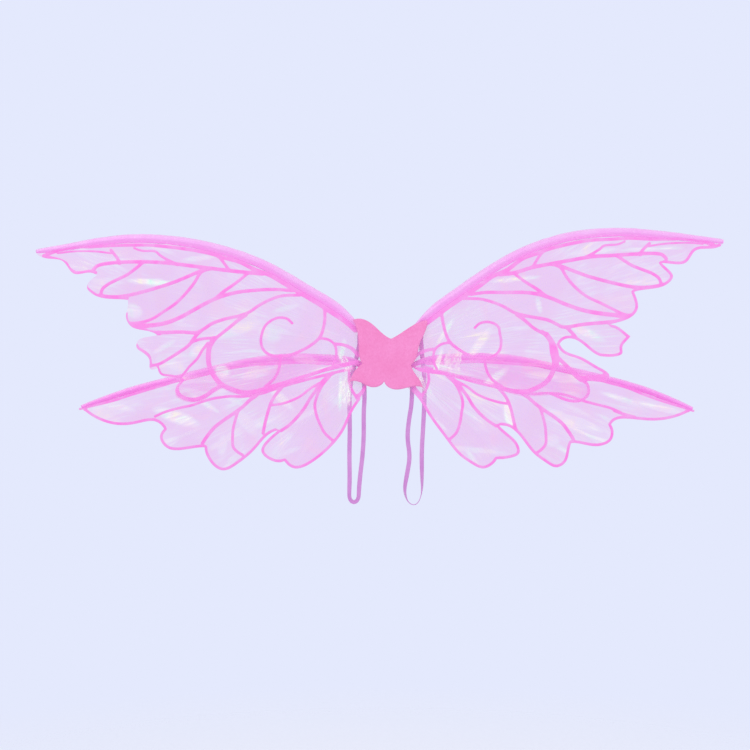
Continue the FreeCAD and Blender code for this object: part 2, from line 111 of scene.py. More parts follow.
def new_piece(name, vertices, faces, material):
    """A smooth mesh piece from corners in metres and faces of corner numbers."""
    mesh = bpy.data.meshes.new(name)
    mesh.from_pydata([tuple(v) for v in vertices], [], faces)
    mesh.validate()
    mesh.update()
    mesh.shade_smooth()
    mesh.materials.append(material)
    return place_in_scene(name, mesh)


def tube_faces(rings, count):
    """The sides and end caps of a tube with so many rings of count corners."""
    faces = []
    for ring in range(rings - 1):
        for k in range(count):
            a, b = ring * count + k, ring * count + (k + 1) % count
            faces.append((a, b, b + count, a + count))
    faces.append(tuple(range(count)))
    faces.append(tuple(reversed(range((rings - 1) * count, rings * count))))
    return faces


def give_uv(piece, name, values):
    """A UV map from one (u, v) pair per vertex."""
    layer = piece.data.uv_layers.new(name=name)
    for loop in piece.data.loops:
        layer.data[loop.index].uv = values[loop.vertex_index]


# Shoulder straps in millimetres: (x, y, z) from the upper tab, down, round and up to the lower tab.
STRAP_ROUTE = {
    "left": [
        (-42, -1.5, 14), (-48, -1, -12), (-56, 1, -42), (-59, 4, -80), (-58, 6, -122), (-59, 8, -164),
        (-58.3, 8, -200), (-59, 8, -222), (-59, 8.3, -237), (-51.5, 8, -243), (-44, 8.3, -237),
        (-43.5, 8, -222), (-41.5, 7, -198), (-37.5, 7, -166), (-35.5, 5, -132), (-36, 3, -98),
        (-34, 0, -72), (-35, -1.5, -52),
    ],
    "right": [
        (56, -1.5, 22), (58, -1, -6), (62, 1, -38), (62, 4, -78), (60, 6, -120), (57.5, 7, -160),
        (58, 8, -196), (58.5, 8, -228), (50, 8, -247), (36, 7, -244), (29, 7, -224), (34, 6, -196),
        (39, 6, -168), (34, 5, -138), (37, 3, -108), (42, 0, -80), (42, -1.5, -54),
    ],
}
STRAP_WIDTH = 7.0
STRAP_THICKNESS = 1.1
# The elastic's section, in half widths and half thicknesses.
STRAP_SECTION = [(-1, 0), (-0.94, 0.8), (-0.6, 1), (0, 0.9), (0.6, 1), (0.94, 0.8),
                 (1, 0), (0.94, -0.8), (0.6, -1), (0, -0.9), (-0.6, -1), (-0.94, -0.8)]
# How far the elastic turns edge-on at the bottom of each loop, in degrees, and the share of its route where
# it is turned the most. It wavers a little everywhere, in radians.
STRAP_TWIST = {"left": 28, "right": 84}
STRAP_TURNED = (0.46, 0.56)
STRAP_TURN_SOFT = 0.16
STRAP_WAVER = 0.22


def nurbs_line(points):
    """Evenly read points, in metres, of the smooth line that a route in millimetres steers."""
    data = bpy.data.curves.new("route", "CURVE")
    data.dimensions = "3D"
    data.resolution_u = 10
    route = data.splines.new("NURBS")
    route.points.add(len(points) - 1)
    for control, point in zip(route.points, points):
        control.co = (*(value * MM for value in point), 1)
    route.order_u = 3
    route.use_endpoint_u = True
    holder = bpy.data.objects.new("route", data)
    mesh = bpy.data.meshes.new_from_object(holder)
    line = [vertex.co.copy() for vertex in mesh.vertices]
    bpy.data.objects.remove(holder)
    bpy.data.curves.remove(data)
    bpy.data.meshes.remove(mesh)
    return line


def bump_between(share, low, high, soft):
    """1 between low and high, 0 outside, with soft ramps."""
    return smooth_step(share, low - soft, low) * (1 - smooth_step(share, high, high + soft))


def smooth_step(value, low, high):
    """0 below low, 1 above high and smooth between them."""
    share = min(max((value - low) / (high - low), 0.0), 1.0)
    return share * share * (3 - 2 * share)


def make_strap(side):
    """Flat elastic along the route; it turns edge-on round the bottom of its loop."""
    line = nurbs_line(STRAP_ROUTE[side])
    half, thick = STRAP_WIDTH / 2 * MM, STRAP_THICKNESS / 2 * MM
    vertices, bands = [], []
    travelled = 0.0
    for index, point in enumerate(line):
        share = index / (len(line) - 1)
        ahead = (line[min(index + 1, len(line) - 1)] - line[max(index - 1, 0)]).normalized()
        if index:
            travelled += (point - line[index - 1]).length
        turn = math.radians(STRAP_TWIST[side]) * bump_between(share, *STRAP_TURNED, STRAP_TURN_SOFT)
        turn += STRAP_WAVER * noise.noise(Vector((share * 7, side_sign(side) * 3.0, 0)))
        out = ahead.cross(Vector((0, 1, 0))).normalized()
        front = out.cross(ahead)
        wide = out * math.cos(turn) + front * math.sin(turn)
        deep = ahead.cross(wide)
        for across, through in STRAP_SECTION:
            vertices.append(point + wide * across * half + deep * through * thick)
            bands.append((across * 0.5 + 0.5, travelled))
    faces = tube_faces(len(line), len(STRAP_SECTION))
    strap = new_piece(f"{side}_strap_elastic", vertices, faces, MATERIALS["elastic"])
    give_uv(strap, BAND, bands)
    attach(strap, "hub")
    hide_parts(f"{side}_shoulder_strap")


# ---- materials ----

RADIAL = "radial"
BAND = "band"
INK = "ink"
PAINTED_SHINE = "shine"
PLEAT = "pleat"


def srgb(red, green, blue, alpha=1.0):
    """A colour given as 0..255 screen values, as linear values for a shader socket."""
    def linear(value):
        value /= 255
        return value / 12.92 if value <= 0.04045 else ((value + 0.055) / 1.055) ** 2.4
    return (linear(red), linear(green), linear(blue), alpha)


class Shader:
    """A material with one Principled shader, and short calls for the nodes that feed it."""

    def __init__(self, name, colour, roughness, sockets=None):
        self.material = bpy.data.materials.new(name)
        self.material.use_nodes = True
        self.tree = self.material.node_tree
        self.principled = self.tree.nodes["Principled BSDF"]
        self.principled.inputs["Base Color"].default_value = colour
        self.principled.inputs["Roughness"].default_value = roughness
        for key, value in (sockets or {}).items():
            self.principled.inputs[key].default_value = value

    def node(self, kind, inputs=None, **settings):
        """A node with these settings. A socket given as an input is linked, any other value is set."""
        made = self.tree.nodes.new("ShaderNode" + kind)
        for key, value in settings.items():
            setattr(made, key, value)
        for key, value in (inputs or {}).items():
            if isinstance(value, bpy.types.NodeSocket):
                self.tree.links.new(value, made.inputs[key])
            else:
                made.inputs[key].default_value = value
        return made

    def place(self, scale=(1, 1, 1), uv=None):
        """Object coordinates in metres, or a named UV map, stretched by scale."""
        if uv:
            source = self.node("UVMap", uv_map=uv).outputs["UV"]
        else:
            source = self.node("TexCoord").outputs["Object"]
        return self.node("Mapping", {"Vector": source, "Scale": scale}).outputs["Vector"]

    def noise(self, scale, detail=3.0, rough=0.5, distortion=0.0, at=None):
        """Noise in object space, or over a mapped vector."""
        made = self.node("TexNoise", {"Vector": self.place() if at is None else at, "Scale": scale,
                                      "Detail": detail, "Roughness": rough, "Distortion": distortion})
        return made.outputs["Fac"]

    def wave(self, vector, scale, direction="X", distortion=0.0):
        """Stripes over a mapped vector."""
        made = self.node("TexWave", {"Vector": vector, "Scale": scale, "Distortion": distortion},
                         bands_direction=direction)
        return made.outputs["Fac"]

    def ramp(self, factor, stops):
        """A colour ramp from (position, colour) stops."""
        made = self.node("ValToRGB", {"Fac": factor})
        elements = made.color_ramp.elements
        while len(elements) < len(stops):
            elements.new(0.5)
        for element, (position, colour) in zip(elements, stops):
            element.position = position
            element.color = colour
        return made.outputs["Color"]

    def level(self, factor, low, high, start, end):
        """Maps factor from low..high to start..end, clamped."""
        made = self.node("MapRange", {"Value": factor, "From Min": low, "From Max": high,
                                      "To Min": start, "To Max": end})
        return made.outputs["Result"]

    def math(self, operation, first, second):
        """One sum of two values or sockets."""
        return self.node("Math", {0: first, 1: second}, operation=operation).outputs["Value"]

    def mix(self, factor, first, second):
        """A colour between two others."""
        made = self.node("MixRGB", {"Fac": factor, "Color1": first, "Color2": second})
        return made.outputs["Color"]

    def feed(self, socket, value):
        """Links a value to a socket of the Principled shader."""
        self.tree.links.new(value, self.principled.inputs[socket])

    def bump(self, height, strength, distance, under=None):
        """Relief from a height, over another bump if one is given."""
        inputs = {"Height": height, "Strength": strength, "Distance": distance}
        if under is not None:
            inputs["Normal"] = under
        made = self.node("Bump", inputs).outputs["Normal"]
        self.feed("Normal", made)
        return made

    def split(self, uv):
        """The X, Y and Z of a named UV map."""
        return self.node("SeparateXYZ", {"Vector": self.node("UVMap", uv_map=uv).outputs["UV"]}).outputs


def film_material(name, painted_glint_level):
    """Clear iridescent film with a pink cast, and mint and white painted highlights where a streak is above
    the painted glint level.
    """
    shader = Shader(name, srgb(236, 160, 232), 0.14, {"IOR": 1.6, "Thin Film Thickness": 430.0,
                                                      "Thin Film IOR": 1.33})
    streak = shader.noise(1.0, detail=4, rough=0.6, distortion=0.8, at=shader.place((8, 17, 1), uv=RADIAL))
    threads = shader.noise(1.0, detail=3, rough=0.6, distortion=0.4, at=shader.place((20, 95, 1), uv=RADIAL))
    patch = shader.noise(11, detail=2, distortion=0.6)
    tint = shader.noise(22, detail=2, distortion=1.2)
    wide = shader.level(patch, 0.42, 0.6, 0.1, 1)
    # Painted highlights: where strong streaks, thin threads or the listed patches lie, the film is painted
    # mint and white and made more opaque.
    strong = shader.math("MULTIPLY", shader.level(streak, painted_glint_level, painted_glint_level + 0.13, 0, 0.8), wide)
    thin = shader.math("MULTIPLY", shader.level(threads, 0.5, 0.68, 0, 0.45), wide)
    broken = shader.level(threads, 0.3, 0.6, 0.6, 1.25)
    placed = shader.math("MULTIPLY", shader.split(PAINTED_SHINE)["X"], broken)
    shine = shader.math("MAXIMUM", shader.math("MAXIMUM", strong, thin), placed)
    cast = shader.ramp(tint, [(0.3, srgb(242, 148, 232)), (0.5, srgb(240, 150, 240)),
                              (0.7, srgb(250, 146, 232))])
    # The painted highlight colours, mint and white.
    painted_glint = shader.ramp(tint, [(0.34, srgb(218, 255, 248)), (0.47, srgb(248, 253, 255)),
                               (0.58, srgb(255, 236, 252)), (0.66, srgb(255, 250, 234))])
    shader.feed("Base Color", shader.mix(shine, cast, painted_glint))
    clear = shader.level(patch, 0.35, 0.65, 0.45, 0.33)
    shader.feed("Alpha", shader.math("MAXIMUM", clear, shader.level(shine, 0.3, 1, 0.3, 0.86)))
    folds = shader.bump(streak, 0.5, 0.004)
    shader.bump(threads, 0.35, 0.0012, folds)
    return shader.material


def bunched_film_material():
    """Clear film crumpled together: milky, with bright painted highlights streaked along its folds, thinning
    out at both ends.
    """
    shader = Shader("bunched_film", srgb(246, 236, 252), 0.2, {"IOR": 1.6})
    folds = shader.noise(1.0, detail=3, rough=0.6, distortion=1.2, at=shader.place((420, 1.6, 1), uv=PLEAT))
    tint = shader.noise(90, detail=2)
    pale = shader.ramp(tint, [(0.35, srgb(250, 206, 246)), (0.5, srgb(252, 248, 255)),
                              (0.68, srgb(255, 244, 236))])
    # Painted highlights: the folds are painted white where the fold noise is high.
    shader.feed("Base Color", shader.mix(shader.level(folds, 0.48, 0.62, 0, 1), pale, srgb(255, 255, 255)))
    end = shader.math("ABSOLUTE", shader.split(PLEAT)["Y"], 0)
    ragged = shader.math("ADD", end, shader.level(folds, 0.3, 0.7, -0.25, 0.25))
    fade = shader.level(ragged, 0.6, 1.0, 1, 0)
    shader.feed("Alpha", shader.math("MULTIPLY", shader.level(folds, 0.4, 0.6, 0.12, 0.9), fade))
    shader.bump(folds, 0.6, 0.002)
    return shader.material


def ink_material():
    """Printed ink: a hot pink that is thinner at its edges and in places."""
    shader = Shader("vein_ink", srgb(252, 128, 228), 0.34)
    cloud = shader.noise(45, detail=4, distortion=0.5)
    cover = shader.split(INK)["X"]
    body = shader.level(cover, 0, 0.45, 0.4, 0.96)
    shader.feed("Base Color", shader.ramp(cloud, [(0.3, srgb(254, 124, 230)), (0.7, srgb(248, 152, 236))]))
    shader.feed("Alpha", shader.math("MULTIPLY", body, shader.level(cloud, 0.35, 0.75, 1.0, 0.82)))
    under = shader.bump(cover, 0.5, 0.0006)
    shader.bump(shader.noise(900, detail=2), 0.2, 0.0003, under)
    return shader.material


def sleeve_material(name, pale, pink, crease):
    """The folded band: palest along its outer fold, pinker towards the film, with fine cross gathers whose
    crests are painted lighter as highlights.
    """
    shader = Shader(name, pale, 0.28, {"IOR": 1.55})
    across = shader.split(BAND)["X"]
    seam = shader.level(across, -0.1, 0.9, 0, 1)
    fold = shader.level(across, -1.0, -0.3, 0.7, 0)
    cloud = shader.noise(30, detail=4, distortion=0.6)
    gathers = shader.noise(1.0, detail=3, rough=0.6, at=shader.place((2, 190, 1), uv=BAND))
    body = shader.ramp(cloud, [(0.3, pink), (0.7, pale)])
    tone = shader.mix(fold, shader.mix(seam, body, crease), srgb(255, 208, 255))
    # Painted highlight: the crests of the gathers are painted lighter.
    painted_crest_highlight = shader.level(gathers, 0.58, 0.78, 0, 0.6)
    shader.feed("Base Color", shader.mix(painted_crest_highlight, tone, srgb(255, 220, 255)))
    shader.feed("Alpha", shader.level(across, -1, -0.5, 0.72, 0.9))
    shader.bump(gathers, 0.4, 0.0012)
    return shader.material


def felt_material():
    """Pressed wool felt: matted fibres, slightly uneven in colour."""
    shader = Shader("felt", srgb(250, 140, 210), 0.95,
                    {"Sheen Weight": 0.3, "Sheen Roughness": 0.5, "Sheen Tint": srgb(255, 200, 235)})
    fibres = shader.noise(1500, detail=6, rough=0.7, distortion=1.6)
    matting = shader.noise(260, detail=4, distortion=0.8)
    cloud = shader.noise(35, detail=2)
    tone = shader.ramp(cloud, [(0.3, srgb(247, 138, 205)), (0.7, srgb(251, 150, 216))])
    tone = shader.mix(shader.level(matting, 0.35, 0.65, 0, 0.5), tone, srgb(240, 124, 194))
    shader.feed("Base Color", shader.mix(shader.level(fibres, 0.5, 0.75, 0, 0.45), tone, srgb(255, 182, 226)))
    under = shader.bump(matting, 0.5, 0.0008)
    shader.bump(fibres, 0.6, 0.0004, under)
    return shader.material


def elastic_material():
    """Flat woven elastic: ribs along its length and a fine weave across, with painted shade darkening its
    grooves.
    """
    shader = Shader("elastic", srgb(206, 126, 214), 0.6, {"Sheen Weight": 0.15})
    ribs = shader.wave(shader.place((7.0, 1, 1), uv=BAND), 0.32)
    weave = shader.wave(shader.place((1, 1100, 1), uv=BAND), 0.32, direction="Y")
    cloud = shader.noise(60, detail=3)
    height = shader.math("ADD", shader.math("MULTIPLY", weave, 0.5), ribs)
    tone = shader.ramp(cloud, [(0.3, srgb(216, 144, 222)), (0.7, srgb(228, 162, 232))])
    # Painted shade: the low parts of the ribs and weave are painted darker.
    shader.feed("Base Color", shader.mix(shader.level(height, 0.2, 1.2, 0.5, 0), tone, srgb(192, 112, 204)))
    shader.bump(height, 0.5, 0.0004)
    return shader.material


def fabric_material():
    """The pad's cover: a plain weave over foam, with painted shade where the weave is low and painted
    highlights where it rises.
    """
    shader = Shader("pad_fabric", srgb(240, 170, 214), 0.9, {"Sheen Weight": 0.2})
    warp = shader.wave(shader.place(), 190, direction="X", distortion=0.6)
    weft = shader.wave(shader.place(), 190, direction="Z", distortion=0.6)
    weave = shader.math("MULTIPLY", warp, weft)
    # Painted shade and highlight: the weave is painted darker in its low places and lighter where its threads
    # cross high.
    shader.feed("Base Color", shader.mix(weave, srgb(228, 146, 200), srgb(250, 188, 226)))
    shader.bump(weave, 0.6, 0.0004)
    return shader.material


def plastic_material(name, colour, dark):
    """Moulded plastic: a fine spark-eroded grain and a faint cloud in the colour."""
    shader = Shader(name, colour, 0.42)
    cloud = shader.noise(70, detail=3)
    grain = shader.noise(2400, detail=2)
    shader.feed("Base Color", shader.mix(shader.level(cloud, 0.35, 0.7, 0, 0.6), colour, dark))
    shader.feed("Roughness", shader.level(cloud, 0.3, 0.7, 0.36, 0.52))
    shader.bump(grain, 0.25, 0.0003)
    return shader.material


def steel_material():
    """Nickel-plated steel with fine turning marks."""
    shader = Shader("plated_steel", srgb(205, 203, 208), 0.28, {"Metallic": 1.0})
    marks = shader.noise(900, detail=4, rough=0.7, at=shader.place((1, 1, 6)))
    cloud = shader.noise(180, detail=3)
    shader.feed("Base Color", shader.mix(cloud, srgb(212, 210, 214), srgb(186, 182, 190)))
    shader.feed("Roughness", shader.level(marks, 0.3, 0.7, 0.2, 0.42))
    shader.bump(marks, 0.2, 0.0002)
    return shader.material


def thread_material():
    """Sewing thread: a twisted, slightly glossy strand."""
    shader = Shader("thread", srgb(232, 120, 200), 0.55, {"Sheen Weight": 0.2})
    twist = shader.noise(2600, detail=2)
    shader.feed("Base Color", shader.mix(twist, srgb(238, 132, 208), srgb(212, 96, 178)))
    shader.bump(twist, 0.5, 0.0002)
    return shader.material


MATERIALS = {
    "upper_film": film_material("upper_film", 0.54),
    "lower_film": film_material("lower_film", 0.51),
    "bunched_film": bunched_film_material(),
    "ink": ink_material(),
    "upper_sleeve": sleeve_material("upper_sleeve", srgb(252, 190, 255), srgb(255, 170, 252),
                                    srgb(255, 150, 244)),
    "lower_sleeve": sleeve_material("lower_sleeve", srgb(255, 158, 248), srgb(255, 136, 240),
                                    srgb(255, 118, 232)),
    "felt": felt_material(),
    "elastic": elastic_material(),
    "fabric": fabric_material(),
    "thread": thread_material(),
    "pink_plastic": plastic_material("pink_plastic", srgb(244, 190, 224), srgb(232, 168, 208)),
    "rod_plastic": plastic_material("rod_plastic", srgb(255, 176, 248), srgb(250, 158, 240)),
    "white_plastic": plastic_material("white_plastic", srgb(244, 232, 244), srgb(232, 214, 234)),
    "steel": steel_material(),
}


# ---- flat shapes ----


def cad_outline(node):
    """The front outline of a flat CAD node: a closed loop of (x, z) in millimetres."""
    data = bmesh.new()
    data.from_mesh(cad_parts[node].data)
    bmesh.ops.remove_doubles(data, verts=data.verts, dist=1e-6)
    front = {face for face in data.faces if face.normal.y < -0.9}
    rim = {}
    for edge in data.edges:
        if len([face for face in edge.link_faces if face in front]) == 1:
            for vertex in edge.verts:
                rim.setdefault(vertex, []).append(edge.other_vert(vertex))
    start = max(rim, key=lambda vertex: vertex.co.z)
    loop = [start, rim[start][0]]
    while loop[-1] is not start:
        loop.append([v for v in rim[loop[-1]] if v is not loop[-2]][0])
    points = np.array([(v.co.x / MM, v.co.z / MM) for v in loop[:-1]])
    data.free()
    return points


def area_of(outline):
    """The area inside a closed outline."""
    x, z = outline[:, 0], outline[:, 1]
    return abs(np.dot(x, np.roll(z, 1)) - np.dot(z, np.roll(x, 1))) / 2


def beside_run(points, start, end):
    """Each point's nearest share of a straight run, from 0 to 1, and its distance from it."""
    run = end - start
    share = np.clip((points - start) @ run / max(run @ run, 1e-9), 0, 1)
    return share, np.hypot(*(points - start - share[:, None] * run).T)


def gap_to_line(points, line):
    """Distance from each point to a line of points."""
    gap = np.full(len(points), np.inf)
    for start, end in zip(line, line[1:]):
        gap = np.minimum(gap, beside_run(points, start, end)[1])
    return gap


def depth_inside(points, outline):
    """Distance to the outline, positive inside it and negative outside."""
    closed = np.vstack([outline, outline[:1]])
    inside = np.zeros(len(points), bool)
    for start, end in zip(closed, closed[1:]):
        if start[1] != end[1]:
            level = (points[:, 1] - start[1]) / (end[1] - start[1])
            crossing = (start[1] > points[:, 1]) != (end[1] > points[:, 1])
            inside ^= crossing & (points[:, 0] < start[0] + level * (end[0] - start[0]))
    return np.where(inside, 1, -1) * gap_to_line(points, closed)


def fill_outline(outline, step):
    """Points and triangles that fill an outline evenly. The outline's own points come first."""
    low, high = outline.min(0), outline.max(0)
    rows = np.arange(low[1] + step / 2, high[1], step * 0.87)
    inner = [(x + (step / 2 if index % 2 else 0), z)
             for index, z in enumerate(rows) for x in np.arange(low[0], high[0], step)]
    inner = np.array(inner)
    inner = inner[depth_inside(inner, outline) > step * 0.5]
    points = [Vector(point) for point in np.vstack([outline, inner])]
    count = len(outline)
    edges = [(index, (index + 1) % count) for index in range(count)]
    made, _, faces, *_ = delaunay_2d_cdt(points, edges, [], 1, 1e-4)
    return np.array([tuple(point) for point in made]), faces


def smooth_line(points, step=3.0):
    """A smooth line through the points, read about every step."""
    points = [np.array(point, float) for point in points]
    points = [2 * points[0] - points[1]] + points + [2 * points[-1] - points[-2]]
    line = []
    for before, start, end, after in zip(points, points[1:], points[2:], points[3:]):
        for t in np.arange(0, 1, min(step / np.hypot(*(end - start)), 1)):
            bend = (2 * start + (end - before) * t + (2 * before - 5 * start + 4 * end - after) * t**2
                    + (3 * start - before - 3 * end + after) * t**3)
            line.append(bend / 2)
    return np.array(line + [points[-2]])


# ---- wings ----

PIVOT = {"upper": (31, 28), "lower": (24, -24)}
ROD_ROUTE = {
    "upper_left": [
        (78, 71), (125, 100), (190, 137), (250, 160), (320, 176), (394, 182), (457, 177), (510, 168),
        (560, 161),
    ],
    "upper_right": [
        (68, 62), (112, 94), (174, 136), (232, 166), (300, 186), (372, 192), (438, 188), (492, 182),
        (540, 177),
    ],
    "lower_left": [
        (60, -12), (106, -9), (150, -8), (200, -12), (260, -24), (330, -41), (395, -57), (440, -71),
        (488, -88),
    ],
    "lower_right": [
        (66, -11), (112, -8), (156, -7), (206, -11), (266, -23), (336, -39), (401, -56), (446, -72),
        (491, -91),
    ],
}
SLEEVE_HALF = {"upper": 7.2, "lower": 5.8}
SLEEVE_TIP_HALF = 2.4
SLEEVE_START = 15.0
# The print is drawn as it lies on the left wings. On the right it is turned up about a point of the upper
# wing's lower edge, or moved out on the lower wing. It is then eased to where it lies there: RIGHT_EASE has
# spots of the drawing, each with its move. A spot holds within EASE_REACH and fades over EASE_FADE.
RIGHT_TURN = math.radians(3.4)
RIGHT_TURN_CENTRE = (181.0, -132.0)
RIGHT_SHIFT = (6.0, 1.0)
RIGHT_EASE = {
    "upper": [
        ((78, 71), (2, -2)), ((125, 100), (1, -2)), ((190, 137), (0, -1)), ((250, 160), (0, 3)),
        ((320, 176), (-1, 2)), ((394, 182), (-3, -2)), ((457, 177), (0, -5)), ((510, 168), (0, -5)),
        ((560, 161), (-2, -6)), ((499, 125), (-3, 0)), ((462, 122), (-5, 3)), ((478, 103), (-4, 1)),
        ((445, 85), (-1, 1)), ((413, 83), (-3, 0)), ((416, 58), (-2, -1)), ((366, 27), (2, 6)),
        ((285, 20), (-9, 2)), ((283, -8), (-11, 2)), ((276, -36), (-3, 0)), ((248, -59), (0, -1)),
        ((200, 18), (-7, -2)), ((170, 55), (3, -6)), ((100, 40), (5, -2)), ((205, 99), (0, -5)),
        ((165, 90), (-1, -4)), ((253, 37), (-8, -2)), ((222, 60), (-3, -2)),
    ],
    "lower": [
        ((488, -88), (-4, -4)), ((440, -71), (0, -2)), ((438, -116), (-2, 6)), ((356, -123), (-1, 6)),
        ((362, -140), (-3, 5)), ((326, -157), (0, 5)), ((291, -153), (0, 6)), ((262, -190), (5, 4)),
        ((208, -154), (8, 5)), ((174, -126), (2, 7)), ((200, -159), (8, 0)), ((163, -175), (9, 2)),
        ((118, -177), (6, 2)), ((67, -125), (8, 3)), ((51, -91), (4, 1)), ((333, -41), (0, 1)),
        ((200, -12), (0, 0)), ((114, -83), (3, 2)), ((88, -138), (9, -1)), ((293, -79), (0, 6)),
        ((245, -107), (4, 4)), ((190, -99), (6, 1)), ((106, -9), (0, 0)),
    ],
}
EASE_REACH = 14
EASE_FADE = 110


def to_side(points, wing, side):
    """Drawn (outboard, up) points on the named side, as x and z."""
    points = np.array(points, float)
    if side == "left":
        return points * (-1, 1)
    spots, moves = (np.array(column, float) for column in zip(*RIGHT_EASE[wing]))
    gap = np.hypot(*(points[:, None] - spots).transpose(2, 0, 1))
    weight = (gap**2 + EASE_REACH**2) ** -2
    eased = weight @ moves / (weight.sum(1)[:, None] + EASE_FADE**-4)
    if wing == "lower":
        return points + RIGHT_SHIFT + eased
    turn = np.array([[math.cos(RIGHT_TURN), -math.sin(RIGHT_TURN)],
                     [math.sin(RIGHT_TURN), math.cos(RIGHT_TURN)]])
    return (points - RIGHT_TURN_CENTRE) @ turn.T + RIGHT_TURN_CENTRE + eased


def rod_line(wing, side):
    """The rod's centre line from the sleeve's root to the tip."""
    pivot = np.array(PIVOT[wing], float)
    route = np.array(ROD_ROUTE[f"{wing}_{side}"], float)
    first = (route[0] - pivot) / np.hypot(*(route[0] - pivot))
    return smooth_line(np.vstack([pivot + first * SLEEVE_START, route]) * (side_sign(side), 1))


def sleeve_half(wing, share):
    """Half the sleeve's width at a share of the rod's length."""
    return SLEEVE_TIP_HALF + (SLEEVE_HALF[wing] - SLEEVE_TIP_HALF) * math.sqrt(1 - share**4)


def let_light_through(piece):
    """Clear film and its thin ink don't shade what lies behind them."""
    piece.visible_shadow = False
    piece.visible_diffuse = False


FILM_STEP = 3.2
SEED = {"upper_left": 1.0, "upper_right": 21.0, "lower_left": 41.0, "lower_right": 61.0}
# The film is flat up to the first distance from its rod or from the hub, and billows freely from the second.
BILLOW = {"upper": 4.2, "lower": -3.0}
ROD_HOLD = (6, 70)
HUB_HOLD = (50, 150)
# Gathers run out from the hub and fade.
GATHER = 1.1
GATHER_FADE = 190
GATHER_HOLD = (5, 18)
# How far the film and the sleeve's two layers stand before the film's middle, and the hump over the rod.
FILM_SKIN = 0.15
SLEEVE_SKIN = 0.35
ROD_HUMP = 1.3
HUMP_WIDTH = 2.6


class Wing:
    """One wing's shared shape: its rod line, its film outline and how far the film stands from its plane."""

    def __init__(self, wing, side):
        self.wing = wing
        self.side = side
        self.name = f"{wing}_{side}"
        self.body = f"{self.name}_wing"
        self.depth = -middle_y(f"{self.name}_film") / MM
        self.rod = rod_line(wing, side)
        self.outline = cad_outline(f"{self.name}_film")

    def film_depths(self, points, gaps):
        """The film's depth: flat at the rod and the hub, billowing between, with gathers from the root."""
        depths = []
        seed = SEED[self.name]
        for (x, z), gap in zip(points, gaps):
            reach, angle = math.hypot(x, z), math.atan2(z, abs(x))
            free = smooth_step(gap, *ROD_HOLD) * smooth_step(reach, *HUB_HOLD)
            wave = noise.noise(Vector((angle * 7, reach * 0.007, seed)))
            pleat = noise.noise(Vector((angle * 19, reach * 0.012, seed + 7)))
            crease = noise.noise(Vector((x * 0.03, z * 0.03, seed + 13)))
            gather = math.exp(-reach / GATHER_FADE) * smooth_step(gap, *GATHER_HOLD)
            depths.append(self.depth + BILLOW[self.wing] * free * (0.6 + 0.8 * wave + 0.25 * crease)
                          + GATHER * pleat * gather)
        return depths

    def skin(self, gap):
        """How far the front of the film, or of the sleeve over the rod, stands before the film's middle."""
        if gap > SLEEVE_HALF[self.wing]:
            return FILM_SKIN
        return SLEEVE_SKIN + ROD_HUMP * math.exp(-(gap / HUMP_WIDTH) ** 2)

    def place(self, points, lift=0.0, on_sleeve=False):
        """Points of the wing's plane as corners in space, on the film or lifted in front of it."""
        gaps = gap_to_line(points, self.rod)
        depths = self.film_depths(points, gaps)
        if on_sleeve:
            depths = [depth + self.skin(gap) for depth, gap in zip(depths, gaps)]
        return [(x * MM, -(depth + lift) * MM, z * MM) for (x, z), depth in zip(points, depths)]

    def radial(self, points):
        """Each point's distance from the hub, in metres, and its direction."""
        return [(math.hypot(x, z) * MM, math.atan2(z, abs(x))) for x, z in points]


# Painted highlights on the film, where the stretched film catches the light: each patch's middle (outboard,
# up), its half length and half width, its slope in degrees and its strength, on the wing as it is drawn.
PAINTED_SHINES = {
    "upper_left": [
        (376, 112, 42, 6, 4, 0.95), (405, 66, 18, 13, 20, 0.6), (418, 146, 30, 4, 2, 0.5),
        (300, 150, 30, 5, -6, 0.5), (238, 36, 48, 11, -18, 0.55), (186, 30, 22, 15, 25, 0.45),
        (300, 4, 24, 9, -38, 0.6), (262, -30, 16, 12, 20, 0.7), (340, -20, 24, 10, 24, 0.5),
        (160, 70, 26, 5, -15, 0.4), (70, 2, 5, 22, 12, 0.75), (355, 8, 26, 5, -30, 0.5),
        (210, -36, 30, 8, -12, 0.5), (128, -12, 26, 8, 10, 0.45),
    ],
    "upper_right": [
        (222, 118, 46, 4, 5, 0.75), (445, 152, 60, 3, 2, 0.8), (350, 150, 50, 5, 6, 0.55),
        (100, 40, 5, 30, -32, 0.8), (160, 20, 9, 34, -36, 0.8), (84, -20, 6, 42, -16, 0.95),
        (66, -30, 4, 20, 6, 0.6), (262, 72, 5, 15, 14, 0.6), (330, 20, 40, 9, -24, 0.7),
        (180, -42, 8, 34, -52, 0.7), (430, 118, 24, 4, 10, 0.4), (108, 74, 5, 18, -44, 0.6),
        (260, -42, 34, 7, -4, 0.5),
    ],
    "lower_left": [
        (440, -84, 44, 8, 14, 0.6), (336, -104, 44, 12, 20, 0.8), (310, -62, 26, 4, 12, 0.5),
        (296, -78, 40, 5, 34, 0.7), (262, -150, 9, 20, 8, 0.45), (170, -72, 8, 34, -46, 0.55),
        (73, -64, 4, 34, 2, 0.95), (60, -58, 3, 26, -16, 0.8), (66, -14, 5, 12, 14, 0.9),
        (134, -104, 30, 5, -30, 0.35), (158, -160, 26, 5, -20, 0.35), (244, -78, 30, 4, 24, 0.5),
        (225, -112, 12, 30, -40, 0.4),
    ],
    "lower_right": [
        (436, -92, 50, 6, -14, 0.75), (372, -80, 40, 5, -18, 0.7), (186, -108, 9, 40, 10, 0.95),
        (258, -148, 14, 12, 0, 0.4), (130, -160, 60, 5, -6, 0.45), (58, -60, 4, 20, 20, 0.6),
        (70, -118, 22, 4, -40, 0.55), (300, -100, 30, 4, -24, 0.4), (132, -80, 22, 5, -18, 0.4),
    ],
}


